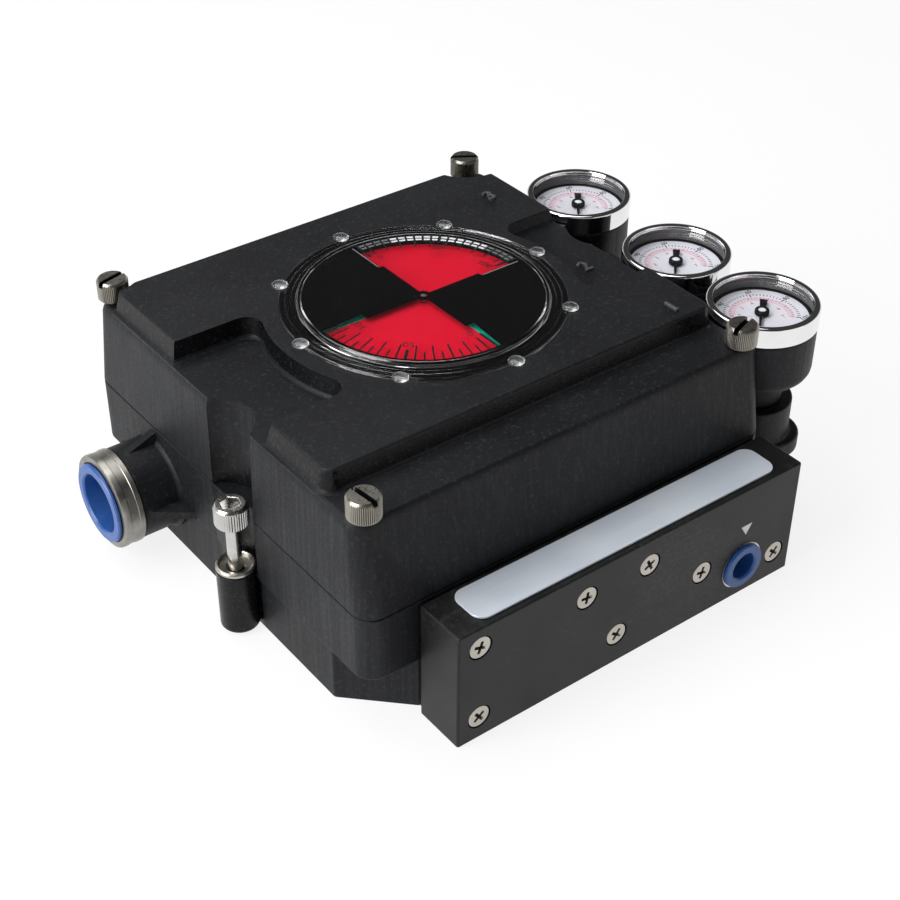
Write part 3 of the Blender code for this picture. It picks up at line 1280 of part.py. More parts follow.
def gauge_pointer():
    """Thin needle and broad tail on a round hub, whose pin turns in the case."""
    case_top = BEZEL_BOTTOM_Z - TOUCH_GAP
    bottom = BEZEL_BOTTOM_Z + DIAL_THICKNESS + POINTER_LIFT
    hub_bottom = bottom - POINTER_LIFT / 2
    pin = PIN_BORE - SLIDE_GAP
    hub = turned((
        (0.0, case_top - PIN_DEPTH), (pin, case_top - PIN_DEPTH), (pin, hub_bottom),
        (POINTER_HUB_RADIUS, hub_bottom), (POINTER_HUB_RADIUS, bottom + POINTER_HUB_RISE),
        (0.0, bottom + POINTER_HUB_RISE),
    ), SMALL_STEPS)
    needle = prism([
        (-POINTER_TAIL, -POINTER_TAIL_HALF), (0.0, -POINTER_WAIST_HALF), (POINTER_LENGTH, -POINTER_TIP_HALF),
        (POINTER_LENGTH, POINTER_TIP_HALF), (0.0, POINTER_WAIST_HALF), (-POINTER_TAIL, POINTER_TAIL_HALF),
    ], bottom, bottom + POINTER_THICKNESS)
    return fuse(hub, needle)


def build_gauges(materials):
    inner = GAUGE_RADIUS - BEZEL_WALL - TOUCH_GAP
    lens_top = BEZEL_TOP_Z - LENS_RECESS
    dial_top = BEZEL_BOTTOM_Z + DIAL_THICKNESS
    for name, y, rest_deg in GAUGES:
        piece(f"gauge_{name}_case", moved(gauge_case(), GAUGE_X, y), materials["resin"])
        piece(f"gauge_{name}_bezel", moved(gauge_bezel(), GAUGE_X, y), materials["chrome"])
        lens = rod(inner, lens_top - LENS_THICKNESS, lens_top)
        piece(f"gauge_{name}_lens", moved(lens, GAUGE_X, y), materials["clear"])
        dial = tube(PIN_BORE, inner, BEZEL_BOTTOM_Z, dial_top)
        piece(f"gauge_{name}_dial", moved(dial, GAUGE_X, y), materials["white"])
        pointer = moved(gauge_pointer(), GAUGE_X, y, 0.0, Matrix.Rotation(math.radians(rest_deg), 4, "Z"))
        piece(f"gauge_{name}_pointer", pointer, materials["mask"], (GAUGE_X, y, dial_top + POINTER_LIFT))


def main():
    clear_scene()
    materials = make_materials()
    build_base_housing(materials)
    build_cover_seal(materials)
    build_cover(materials)
    build_window(materials)
    disc_top = build_indicator(materials)
    build_shaft(materials, disc_top)
    build_cam(materials)
    build_follower(materials)
    build_deck(materials)
    build_valve_body(materials)
    build_spool(materials)
    build_capsule(materials)
    build_transducer(materials)
    build_terminals(materials)
    build_manifold_block(materials)
    build_manifold_gasket(materials)
    build_manifold_screws(materials)
    build_name_plate(materials)
    build_supply_plug(materials)
    build_conduit_entry(materials)
    build_thumb_screws(materials)
    build_mounting_screws(materials)
    build_gauges(materials)


main()
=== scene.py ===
"""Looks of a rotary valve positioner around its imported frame.

Shapes are made in millimetres, in the frame's axes, and turned into metres when a piece is finished.
"""

import math

import bmesh
import bpy
from mathutils import Matrix, Vector


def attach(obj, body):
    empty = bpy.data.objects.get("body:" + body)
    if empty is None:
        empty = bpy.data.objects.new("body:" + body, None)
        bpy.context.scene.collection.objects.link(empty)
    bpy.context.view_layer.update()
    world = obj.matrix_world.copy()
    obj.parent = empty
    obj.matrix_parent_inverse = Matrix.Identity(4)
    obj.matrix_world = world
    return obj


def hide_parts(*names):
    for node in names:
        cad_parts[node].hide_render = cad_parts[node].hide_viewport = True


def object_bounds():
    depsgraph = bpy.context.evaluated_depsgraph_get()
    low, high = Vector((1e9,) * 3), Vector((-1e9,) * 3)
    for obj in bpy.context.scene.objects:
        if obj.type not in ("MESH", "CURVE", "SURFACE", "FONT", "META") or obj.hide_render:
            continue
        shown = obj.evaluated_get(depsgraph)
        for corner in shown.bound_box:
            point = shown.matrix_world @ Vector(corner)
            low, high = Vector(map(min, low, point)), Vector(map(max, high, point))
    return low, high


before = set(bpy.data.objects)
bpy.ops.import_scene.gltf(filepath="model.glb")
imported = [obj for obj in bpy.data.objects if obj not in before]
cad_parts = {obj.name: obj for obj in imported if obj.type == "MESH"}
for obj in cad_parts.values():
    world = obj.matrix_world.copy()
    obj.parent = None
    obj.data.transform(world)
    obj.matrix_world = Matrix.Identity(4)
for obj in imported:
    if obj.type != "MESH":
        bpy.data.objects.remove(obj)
cad_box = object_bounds()

MM = 0.001
WELD = 0.0006
OVERCUT = 4.0
FINE = 96
ROUND = 48
SMALL = 24

# Levels and sizes shared with the frame
HALF = 86.0
CORNER = 7.0
SEAM_Z = 47.0
LEDGE_Z = 82.0
TOP_Z = 90.0
POCKET_ARC = 56.5
CHANNEL = 13.5
CHANNELS = ((-90.3, -9.0), (90.3, 9.0))
LUGS = (("left", -90.3, -15.3), ("right", 90.3, 8.0))
THUMBS = (("front_left", -79.5, -77.6, 96.0), ("front_right", 77.4, -77.6, 19.0),
          ("back_left", -79.5, 77.2, 15.0), ("back_right", 77.4, 77.2, 147.0))
GAUGES = (("signal", 34.4, 230.0), ("second", -21.0, 225.0), ("first", -65.2, 220.0))
GAUGE_X = 100.7
GAUGE_R = 20.3
FACE_Y = -107.2
BLOCK = (-66.4, 83.0, 46.9)
FLAT_SCREWS = ((-57.8, 39.0), (-57.8, 9.3), (-14.3, 36.2), (0.2, 12.5), (12.9, 36.3), (38.6, 19.7), (74.8, 10.9))
PORT = (58.5, 13.2)
CONDUIT_Y = 45.0
CONDUIT_Z = 24.0

ALONG_X = Matrix.Rotation(math.radians(90.0), 4, "Y")
ALONG_Y = Matrix.Rotation(math.radians(-90.0), 4, "X")


# Shapes


def solid(shape):
    bmesh.ops.recalc_face_normals(shape, faces=shape.faces)
    mesh = bpy.data.meshes.new("working")
    shape.to_mesh(mesh)
    shape.free()
    body = bpy.data.objects.new("working", mesh)
    bpy.context.scene.collection.objects.link(body)
    return body


def combine(body, tools, operation):
    for tool in tools:
        change = body.modifiers.new("change", "BOOLEAN")
        change.operation = operation
        change.solver = "EXACT"
        change.object = tool
        shaped = bpy.data.meshes.new_from_object(body.evaluated_get(bpy.context.evaluated_depsgraph_get()))
        body.modifiers.clear()
        cleaned = bmesh.new()
        cleaned.from_mesh(shaped)
        bmesh.ops.remove_doubles(cleaned, verts=cleaned.verts, dist=WELD)
        bmesh.ops.dissolve_degenerate(cleaned, edges=cleaned.edges, dist=WELD)
        cleaned.to_mesh(shaped)
        cleaned.free()
        body.data = shaped
        bpy.data.objects.remove(tool)
    return body


def cut(body, *tools):
    return combine(body, tools, "DIFFERENCE")


def fuse(body, *tools):
    return combine(body, tools, "UNION")


def moved(body, x=0.0, y=0.0, z=0.0, turn=None):
    placing = Matrix.Translation((x, y, z))
    body.data.transform(placing @ turn if turn is not None else placing)
    return body


def spun(degrees):
    return Matrix.Rotation(math.radians(degrees), 4, "Z")


def joined(bodies):
    """One object from separate shells that stay apart."""
    shape = bmesh.new()
    for body in bodies:
        shape.from_mesh(body.data)
        bpy.data.objects.remove(body)
    return solid(shape)


def loft(sections):
    shape = bmesh.new()
    rings = [[shape.verts.new((x, y, height)) for x, y in points] for height, points in sections]
    shape.faces.new(list(reversed(rings[0])))
    shape.faces.new(rings[-1])
    count = len(rings[0])
    for low, high in zip(rings, rings[1:]):
        for i in range(count):
            j = (i + 1) % count
            shape.faces.new((low[i], low[j], high[j], high[i]))
    return solid(shape)


def prism(points, bottom, top):
    return loft(((bottom, points), (top, points)))


def arc(x, y, radius, start, end, steps):
    angles = [math.radians(start + (end - start) * i / steps) for i in range(steps + 1)]
    return [(x + radius * math.cos(angle), y + radius * math.sin(angle)) for angle in angles]


def rounded(left, right, front, back, radius, steps=9):
    return (
        arc(right - radius, back - radius, radius, 0, 90, steps)
        + arc(left + radius, back - radius, radius, 90, 180, steps)
        + arc(left + radius, front + radius, radius, 180, 270, steps)
        + arc(right - radius, front + radius, radius, 270, 360, steps)
    )


def chamfered(half, chamfer, soft=2.0):
    """A square with cut and slightly rounded corners."""
    near = half - chamfer
    points = []
    for quarter in range(4):
        for x, y, direction in ((half, near, 0.0), (near, half, 45.0)):
            turn = math.radians(90.0 * quarter)
            inner = Vector((x, y)) - Vector((soft, soft * 0.414)) if direction == 0.0 else \
                Vector((x, y)) - Vector((soft * 0.414, soft))
            for px, py in arc(inner.x, inner.y, soft, direction, direction + 45.0, 3):
                points.append((px * math.cos(turn) - py * math.sin(turn), px * math.sin(turn) + py * math.cos(turn)))
    return points


def box(left, right, front, back, bottom, top):
    return prism([(left, front), (right, front), (right, back), (left, back)], bottom, top)


def soft_box(left, right, front, back, bottom, top, edge, corner=None):
    """A block whose edges are all rounded."""
    corner = corner or edge
    sections = []
    for inset, height in rise(bottom, edge) + lid(top, edge):
        sections.append((height, rounded(left + inset, right - inset, front + inset, back - inset,
                                         max(corner - inset, 0.05), 4)))
    return loft(sections)


def lid(top, radius, steps=4):
    """Insets and heights that round a wall over into a top face."""
    angles = [math.pi / 2 * i / steps for i in range(steps + 1)]
    return [(radius * (1 - math.cos(a)), top - radius + radius * math.sin(a)) for a in angles]


def rise(bottom, radius, steps=4):
    """Insets and heights that round a bottom face up into a wall."""
    return [(inset, 2 * bottom - height) for inset, height in reversed(lid(bottom, radius, steps))]


def foot(level, radius, steps=5):
    """Outward growth and heights of a hollow fillet that stands on a face."""
    angles = [math.pi / 2 * i / steps for i in range(steps + 1)]
    return [(radius * (1 - math.sin(a)), level + radius * (1 - math.cos(a))) for a in angles]


def turned(profile, segments=ROUND, closed=False):
    shape = bmesh.new()
    rings = []
    for radius, height in profile:
        if radius == 0.0:
            rings.append([shape.verts.new((0.0, 0.0, height))])
        else:
            rings.append([shape.verts.new((x, y, height)) for x, y in arc(0, 0, radius, 0, 360, segments)[:-1]])
    pairs = list(zip(rings, rings[1:]))
    if closed:
        pairs.append((rings[-1], rings[0]))
    for low, high in pairs:
        for i in range(segments):
            j = (i + 1) % segments
            if len(low) == 1:
                shape.faces.new((low[0], high[i], high[j]))
            elif len(high) == 1:
                shape.faces.new((low[i], low[j], high[0]))
            else:
                shape.faces.new((low[i], low[j], high[j], high[i]))
    return solid(shape)


def rod(radius, bottom, top, segments=ROUND):
    return turned(((0.0, bottom), (radius, bottom), (radius, top), (0.0, top)), segments)


def tube(inner, outer, bottom, top, segments=ROUND):
    return turned(((inner, bottom), (outer, bottom), (outer, top), (inner, top)), segments, closed=True)


def soft_rod(radius, bottom, top, edge, segments=ROUND):
    profile = [(radius - inset, height) for inset, height in rise(bottom, edge, 3) + lid(top, edge, 3)]
    return turned([(0.0, bottom), *profile, (0.0, top)], segments)


def words(text, height, thickness, edge=0.0):
    """Plain raised or printed numerals, centred on the origin."""
    curve = bpy.data.curves.new("numeral", "FONT")
    curve.body = text
    curve.size = height * 1.4
    curve.extrude = thickness / 2 - edge
    curve.bevel_depth = edge
    curve.bevel_resolution = 2
    curve.align_x = "CENTER"
    curve.align_y = "CENTER"
    curve.resolution_u = 3
    holder = bpy.data.objects.new("numeral", curve)
    bpy.context.scene.collection.objects.link(holder)
    mesh = bpy.data.meshes.new_from_object(holder.evaluated_get(bpy.context.evaluated_depsgraph_get()))
    bpy.data.objects.remove(holder)
    body = bpy.data.objects.new("working", mesh)
    bpy.context.scene.collection.objects.link(body)
    return body


# Materials


class Look:
    """A material with short calls for the nodes that it is made of."""

    def __init__(self, name, colour, roughness, metallic=0.0):
        self.material = bpy.data.materials.new(name)
        self.material.use_nodes = True
        self.tree = self.material.node_tree
        self.shader = self.tree.nodes["Principled BSDF"]
        self.set(Base_Color=(*colour, 1.0), Roughness=roughness, Metallic=metallic)
        self.places = self.tree.nodes.new("ShaderNodeTexCoord")

    def set(self, **values):
        for name, value in values.items():
            self.shader.inputs[name.replace("_", " ")].default_value = value
        return self

    def link(self, source, node, name):
        self.tree.links.new(source, node.inputs[name])

    def stretched(self, stretch):
        node = self.tree.nodes.new("ShaderNodeMapping")
        self.link(self.places.outputs["Object"], node, "Vector")
        node.inputs["Scale"].default_value = stretch
        return node.outputs["Vector"]

    def noise(self, scale, detail=3.0, stretch=(1.0, 1.0, 1.0), blur=0.55):
        node = self.tree.nodes.new("ShaderNodeTexNoise")
        self.link(self.stretched(stretch), node, "Vector")
        node.inputs["Scale"].default_value = scale
        node.inputs["Detail"].default_value = detail
        node.inputs["Roughness"].default_value = blur
        return node.outputs["Fac"]

    def cells(self, scale, feature="F1"):
        node = self.tree.nodes.new("ShaderNodeTexVoronoi")
        node.feature = feature
        self.link(self.places.outputs["Object"], node, "Vector")
        node.inputs["Scale"].default_value = scale
        return node.outputs["Distance"]

    def range(self, source, low, high, start=0.0, end=1.0):
        node = self.tree.nodes.new("ShaderNodeMapRange")
        self.link(source, node, "Value")
        node.inputs["From Min"].default_value = low
        node.inputs["From Max"].default_value = high
        node.inputs["To Min"].default_value = start
        node.inputs["To Max"].default_value = end
        return node.outputs["Result"]

    def math(self, operation, first, second):
        node = self.tree.nodes.new("ShaderNodeMath")
        node.operation = operation
        for i, value in enumerate((first, second)):
            if isinstance(value, (int, float)):
                node.inputs[i].default_value = value
            else:
                self.tree.links.new(value, node.inputs[i])
        return node.outputs[0]

    def mix(self, factor, first, second):
        node = self.tree.nodes.new("ShaderNodeMix")
        node.data_type = "RGBA"
        self.tree.links.new(factor, node.inputs[0])
        for i, value in ((6, first), (7, second)):
            if isinstance(value, tuple):
                node.inputs[i].default_value = (*value, 1.0)
            else:
                self.tree.links.new(value, node.inputs[i])
        return node.outputs[2]

    def upright(self):
        """1 on upright walls and 0 on level faces."""
        split = self.tree.nodes.new("ShaderNodeSeparateXYZ")
        self.link(self.places.outputs["Normal"], split, "Vector")
        return self.range(self.math("ABSOLUTE", split.outputs["Z"], 0.0), 0.55, 0.25)

    def above(self, level_mm):
        """1 above a level and 0 below it."""
        split = self.tree.nodes.new("ShaderNodeSeparateXYZ")
        self.link(self.places.outputs["Object"], split, "Vector")
        return self.range(split.outputs["Z"], (level_mm - 0.1) * MM, (level_mm + 0.3) * MM)

    def near(self, x_mm, y_mm, radius_mm):
        """1 near an upright axis and 0 away from it."""
        shift = self.tree.nodes.new("ShaderNodeVectorMath")
        shift.operation = "SUBTRACT"
        self.tree.links.new(self.stretched((1.0, 1.0, 0.0)), shift.inputs[0])
        shift.inputs[1].default_value = (x_mm * MM, y_mm * MM, 0.0)
        length = self.tree.nodes.new("ShaderNodeVectorMath")
        length.operation = "LENGTH"
        self.tree.links.new(shift.outputs["Vector"], length.inputs[0])
        return self.range(length.outputs["Value"], (radius_mm + 0.3) * MM, radius_mm * MM)

    def colour(self, source):
        self.link(source, self.shader, "Base Color")
        return self

    def rough(self, source):
        self.link(source, self.shader, "Roughness")
        return self

    def bump(self, height, distance_mm, strength=1.0):
        node = self.tree.nodes.new("ShaderNodeBump")
        self.link(height, node, "Height")
        node.inputs["Distance"].default_value = distance_mm * MM
        node.inputs["Strength"].default_value = strength
        if self.shader.inputs["Normal"].is_linked:
            self.link(self.shader.inputs["Normal"].links[0].from_socket, node, "Normal")
        self.link(node.outputs["Normal"], self.shader, "Normal")
        return self


def resin_look():
    """Glass-filled black moulding: a fine grain, cloudy patches, faint draw marks on the walls, and painted shade on
    the upright walls above the ledge and round the channels.
    """
    look = Look("black_resin", (0.0065, 0.007, 0.0085), 0.5).set(Specular_IOR_Level=0.21)
    cloud = look.noise(38.0, 4.0)
    streak = look.noise(1.0, 3.0, (620.0, 620.0, 16.0))
    grain = look.noise(2100.0, 2.0)
    walls = look.upright()
    pale = look.math("MULTIPLY", look.range(streak, 0.45, 0.75), walls)
    tone = look.mix(look.range(cloud, 0.3, 0.7), (0.0036, 0.0039, 0.0050), (0.0078, 0.0084, 0.0104))
    tone = look.mix(look.math("MULTIPLY", pale, 0.35), tone, (0.024, 0.025, 0.027))
    # Painted shade: upright walls above the ledge and round the channels are darkened towards black; the same mask also
    # makes them less rough.
    smooth_shaded = look.above(LEDGE_Z)
    for x, y in CHANNELS:
        smooth_shaded = look.math("MAXIMUM", smooth_shaded, look.near(x, y, CHANNEL + 0.3))
    smooth_shaded = look.math("MULTIPLY", walls, smooth_shaded)
    # The darkening of those walls here is painted shade.
    tone = look.mix(look.math("MULTIPLY", smooth_shaded, 0.75), tone, (0.0012, 0.0013, 0.0016))
    specks = look.range(look.noise(760.0, 2.0), 0.56, 0.72)
    tone = look.mix(look.math("MULTIPLY", specks, 0.42), tone, (0.036, 0.038, 0.042))
    look.colour(tone)
    polish = look.math("ADD", look.math("MULTIPLY", pale, -0.06), look.math("MULTIPLY", smooth_shaded, -0.2))
    look.rough(look.math("ADD", look.range(grain, 0.3, 0.7, 0.44, 0.58), polish))
    look.bump(grain, 0.075, 0.9)
    look.bump(look.noise(620.0, 3.0), 0.06, 0.5)
    return look.bump(streak, 0.015, 0.35).material


def block_look():
    """Black machined bar with scuffs and fine wear."""
    look = Look("black_anodised", (0.007, 0.007, 0.0075), 0.4).set(Specular_IOR_Level=0.27)
    cloud = look.noise(60.0, 5.0)
    scuff = look.noise(1.0, 5.0, (420.0, 420.0, 900.0), 0.75)
    patch = look.range(look.noise(24.0, 3.0), 0.46, 0.64)
    marks = look.math("MULTIPLY", look.range(scuff, 0.5, 0.72), patch)
    tone = look.mix(look.range(cloud, 0.35, 0.7), (0.0050, 0.0052, 0.0056), (0.0095, 0.0097, 0.0104))
    look.colour(look.mix(look.math("MULTIPLY", marks, 0.7), tone, (0.070, 0.068, 0.064)))
    look.rough(look.range(cloud, 0.3, 0.7, 0.36, 0.5))
    return look.bump(look.noise(1500.0, 2.0), 0.02, 0.6).material


def metal_look(name, colour, roughness, fine=700.0, spread=0.1, tarnish=0.25):
    """Plated or turned metal with small changes of shade and polish."""
    look = Look(name, colour, roughness, 1.0)
    cloud = look.noise(120.0, 4.0)
    dark = tuple(channel * (1.0 - tarnish) for channel in colour)
    look.colour(look.mix(look.range(cloud, 0.35, 0.75), colour, dark))
    look.rough(look.range(look.noise(fine, 3.0), 0.3, 0.7, roughness - spread / 2, roughness + spread / 2))
    return look.bump(look.noise(fine, 2.0), 0.002, 0.3).material


def plastic_look(name, colour, roughness, lighter=0.25, specular=0.5, light_through=0.0):
    look = Look(name, colour, roughness).set(Specular_IOR_Level=specular)
    if light_through:
        look.set(Subsurface_Weight=light_through, Subsurface_Scale=0.002)
    pale = tuple(channel + (1.0 - channel) * 0.06 * lighter for channel in colour)
    look.colour(look.mix(look.range(look.noise(150.0, 3.0), 0.3, 0.7), colour, pale))
    look.rough(look.range(look.noise(800.0, 2.0), 0.3, 0.7, roughness - 0.04, roughness + 0.05))
    return look.bump(look.noise(1600.0, 2.0), 0.012, 0.5).material


def foil_look():
    """Silver label foil, faintly brushed along its length."""
    look = Look("silver_foil", (0.60, 0.65, 0.71), 0.34, 0.35)
    brushed = look.noise(1.0, 3.0, (30.0, 2600.0, 2600.0))
    cloud = look.noise(22.0, 2.0)
    tone = look.mix(look.range(cloud, 0.35, 0.65), (0.52, 0.58, 0.66), (0.64, 0.69, 0.75))
    look.colour(look.mix(look.range(brushed, 0.3, 0.7, 0.0, 0.18), tone, (0.86, 0.88, 0.92)))
    look.rough(look.range(brushed, 0.3, 0.7, 0.28, 0.4))
    return look.bump(brushed, 0.004, 0.4).material


def clear_look(name, tint, roughness, specular):
    """Clear plastic or glass. Light from the lamps passes it, so what lies under it is lit."""
    look = Look(name, tint, roughness).set(Transmission_Weight=1.0, IOR=1.46, Specular_IOR_Level=specular)
    look.rough(look.range(look.noise(90.0, 4.0), 0.4, 0.8, roughness, roughness + 0.03))
    path = look.tree.nodes.new("ShaderNodeLightPath")
    free = look.tree.nodes.new("ShaderNodeBsdfTransparent")
    mix = look.tree.nodes.new("ShaderNodeMixShader")
    look.tree.links.new(path.outputs["Is Shadow Ray"], mix.inputs[0])
    look.tree.links.new(look.shader.outputs[0], mix.inputs[1])
    look.tree.links.new(free.outputs[0], mix.inputs[2])
    look.tree.links.new(mix.outputs[0], look.tree.nodes["Material Output"].inputs["Surface"])
    return look.material


def make_looks():
    return {
        "resin": resin_look(),
        "block": block_look(),
        # Lighter resin of the raised numerals: a painted highlight.
        "numeral_sheen": plastic_look("numeral_sheen_resin", (0.050, 0.051, 0.053), 0.24, 0.2, 0.7),
        "rubber": plastic_look("seal_rubber", (0.012, 0.012, 0.012), 0.75, 0.1, 0.3),
        "nickel": metal_look("nickel_plate", (0.50, 0.47, 0.42), 0.31, 900.0, 0.1, 0.2),
        "aged_nickel": metal_look("aged_nickel", (0.37, 0.35, 0.31), 0.3, 900.0, 0.1, 0.25),
        "steel": metal_look("stainless_steel", (0.62, 0.61, 0.59), 0.24, 800.0, 0.1, 0.2),
        "chrome": metal_look("chrome", (0.83, 0.83, 0.83), 0.07, 500.0, 0.04, 0.05),
        "brass": metal_look("brass", (0.72, 0.53, 0.25), 0.33),
        "aluminium": metal_look("aluminium", (0.66, 0.67, 0.68), 0.38, 600.0, 0.12, 0.15),
        "zinc": metal_look("conduit_metal", (0.34, 0.33, 0.30), 0.38, 350.0, 0.16, 0.35),
        "blue": plastic_look("blue_plastic", (0.005, 0.060, 0.25), 0.32, 0.4, 0.5, 0.05),
        "foil": foil_look(),
        "clear": clear_look("clear_plastic", (0.97, 0.98, 0.99), 0.02, 0.12),
        "dome": clear_look("frosted_plastic", (0.62, 0.63, 0.64), 0.2, 0.5),
        "glass": clear_look("gauge_glass", (0.98, 0.98, 0.98), 0.01, 0.25),
        "liner": plastic_look("dark_liner", (0.085, 0.085, 0.087), 0.8, 0.2, 0.1),
        # Pale and grey for the painted reflection on the window's far rim.
        "bright_painted_reflection": plastic_look("bright_painted_reflection", (0.56, 0.57, 0.58), 0.4, 0.1),
        "dim_painted_reflection": plastic_look("dim_painted_reflection", (0.085, 0.090, 0.090), 0.4, 0.1),
        "pink": plastic_look("pink_print", (0.60, 0.47, 0.53), 0.5, 0.1, 0.2),
        "red": plastic_look("indicator_red", (0.47, 0.004, 0.018), 0.45, 0.05, 0.0),
        "green": plastic_look("indicator_green", (0.003, 0.37, 0.25), 0.45, 0.05, 0.0),
        # The indicator's black; the ring under the window's flange also uses it, as painted shade.
        "mask": plastic_look("indicator_black", (0.0012, 0.0012, 0.0014), 0.5, 0.0, 0.0),
        # Black print; on the slot linings, the recess crosses and the dial-edge rings the same black is painted shade.
        "print": plastic_look("black_print", (0.003, 0.003, 0.004), 0.5, 0.0, 0.1),
        "red_print": plastic_look("red_print", (0.42, 0.12, 0.15), 0.5, 0.1, 0.2),
        # Grey for the painted highlight along the mask's edges.
        "edge_highlight_grey": plastic_look("edge_highlight_grey", (0.16, 0.165, 0.17), 0.4, 0.1),
        # Silver print for the port arrow; on the gauges' hub caps the same pale tone is a painted reflection.
        "silver_print_and_sheen": plastic_look("silver_print_and_sheen", (0.62, 0.66, 0.68), 0.35, 0.1),
        "white": plastic_look("white_dial", (0.60, 0.60, 0.66), 0.42, 0.2),
    }


LOOKS = make_looks()


def finish(name, body, look, rides="housing", stands_for=(), sharp=38.0, smooth_shaded=True):
    """Name a working shape, turn it into metres, and hang it on the body that it rides."""
    body.data.transform(Matrix.Scale(MM, 4))
    body.name = name
    body.data.name = name
    body.data.materials.clear()
    body.data.materials.append(LOOKS[look])
    if smooth_shaded:
        body.data.shade_smooth()
        body.data.set_sharp_from_angle(angle=math.radians(sharp))
        flat = body.modifiers.new("flat_faces", "WEIGHTED_NORMAL")
        flat.keep_sharp = True
    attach(body, rides)
    if stands_for:
        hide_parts(*stands_for)
    return body


# Housing


def square(inset, radius=CORNER):
    half = HALF - inset
    return rounded(-half, half, -half, half, radius)


def cavity(bottom, top, draft):
    low = chamfered(HALF - 6.0, 18.0)
    high = chamfered(HALF - 6.0 - draft, 18.0)
    hollow = loft(((bottom, low), (top, high)))
    for x, y in CHANNELS:
        cut(hollow, moved(rod(CHANNEL + 6.0, bottom - OVERCUT, top + OVERCUT), x, y))
    return hollow


def rib(turn, reach):
    """A tapered web between the wall and the conduit nose."""
    outline = [(-83.0, 13.0), (-83.0, reach), (-100.0, 16.0), (-100.0, 13.0)]
    web = prism(outline, -1.5, 1.5)
    moved(web, turn=Matrix.Rotation(math.radians(90.0), 4, "X"))
    return moved(web, 0.0, CONDUIT_Y, CONDUIT_Z, Matrix.Rotation(math.radians(turn), 4, "X"))


def conduit_hub():
    hub = turned(((0.0, -83.0), (18.4, -83.0), (18.4, -86.0), (17.6, -86.7), (17.2, -87.6), (17.2, -100.2),
                  (16.8, -100.7), (15.0, -100.7), (15.0, -108.6), (14.6, -109.0), (0.0, -109.0)))
    moved(hub, 0.0, CONDUIT_Y, CONDUIT_Z, ALONG_X)
    for quarter, reach in enumerate((22.6, 29.0, 22.6, 29.0)):
        fuse(hub, rib(90.0 * quarter, reach))
    return hub


def gauge_shelf():
    shelf = None
    sections = []
    for inset, height in rise(24.0, 1.2) + lid(31.0, 1.2):
        sections.append((height, rounded(80.0, 117.7 - inset, -82.2 + inset, 51.4 - inset, 12.0 - inset)))
    shelf = loft(sections)
    for _, y, _ in GAUGES:
        profile = [(15.0 + grow, height) for grow, height in foot(31.0, 1.5)]
        profile += [(15.0 - inset, height) for inset, height in lid(46.0, 0.8, 3)]
        boss = turned([(0.0, 27.0), (16.5, 27.0), *profile, (0.0, 46.0)])
        fuse(shelf, moved(boss, GAUGE_X, y))
    return shelf


def build_base():
    """The lower shell with its cut-corner foot, screw lugs, gauge shelf and conduit hub."""
    sections = [(height, square(inset)) for inset, height in rise(22.0, 1.0) + lid(SEAM_Z, 0.5, 3)]
    base = loft(sections)
    low = [(height, chamfered(HALF - 1.2 - inset, 20.0)) for inset, height in rise(0.0, 0.8)]
    fuse(base, loft([*low, (24.0, chamfered(HALF - 1.2, 20.0))]))
    fuse(base, soft_box(-64.4, 81.0, -86.0, -80.0, 0.0, SEAM_Z, 0.5))
    for _, x, y in LUGS:
        profile = [(6.9 - inset, height) for inset, height in rise(1.0, 1.5) + lid(25.5, 0.4, 3)]
        fuse(base, moved(turned([(0.0, 1.0), *profile, (0.0, 25.5)]), x, y))
    fuse(base, gauge_shelf(), conduit_hub())
    cut(base, cavity(5.0, SEAM_Z + OVERCUT, 0.0))
    for x in (-47.0, 61.0):
        for y in (-63.0, 55.0):
            fuse(base, moved(turned(((0.0, 4.0), (5.0, 4.0), (5.0, 26.7), (2.2, 26.7), (2.2, 32.0), (0.0, 32.0)),
                                    SMALL), x, y))
    fuse(base, rod(17.0, 4.0, 25.0))
    cut(base, rod(8.4, -OVERCUT, 7.0), rod(11.2, 2.5, 29.0))
    cut(base, moved(rod(13.0, -113.0, -76.0), 0.0, CONDUIT_Y, CONDUIT_Z, ALONG_X))
    for _, x, y in LUGS:
        flare = [(8.0 + inset, height) for inset, height in lid(SEAM_Z, 0.5, 3)]
        cut(base, moved(turned([(0.0, 25.5), (8.0, 25.5), *flare, (8.5, 51.0), (0.0, 51.0)]), x, y))
        cut(base, moved(rod(4.4, -OVERCUT, 30.0), x, y))
    for _, x, y, _ in THUMBS:
        cut(base, moved(rod(2.4, 33.0, 51.0, SMALL), x, y))
    for _, y, _ in GAUGES:
        cut(base, moved(rod(5.1, 33.0, 50.0), GAUGE_X, y))
    for x, z in FLAT_SCREWS:
        cut(base, moved(rod(2.5, -90.0, -81.0, SMALL), x, 0.0, z, ALONG_Y))
    cut(base, moved(rod(3.0, -90.0, -76.0, SMALL), PORT[0], 0.0, PORT[1], ALONG_Y))
    groove = prism(square(1.6), 45.5, 51.0)
    inner = prism(square(3.4), 44.0, 53.0)
    for x, y in CHANNELS:
        cut(groove, moved(rod(CHANNEL + 1.6, 40.0, 55.0), x, y))
        cut(inner, moved(rod(CHANNEL + 3.4, 40.0, 55.0), x, y))
    cut(base, cut(groove, inner))
    finish("lower_shell", base, "resin", stands_for=("base_housing",))


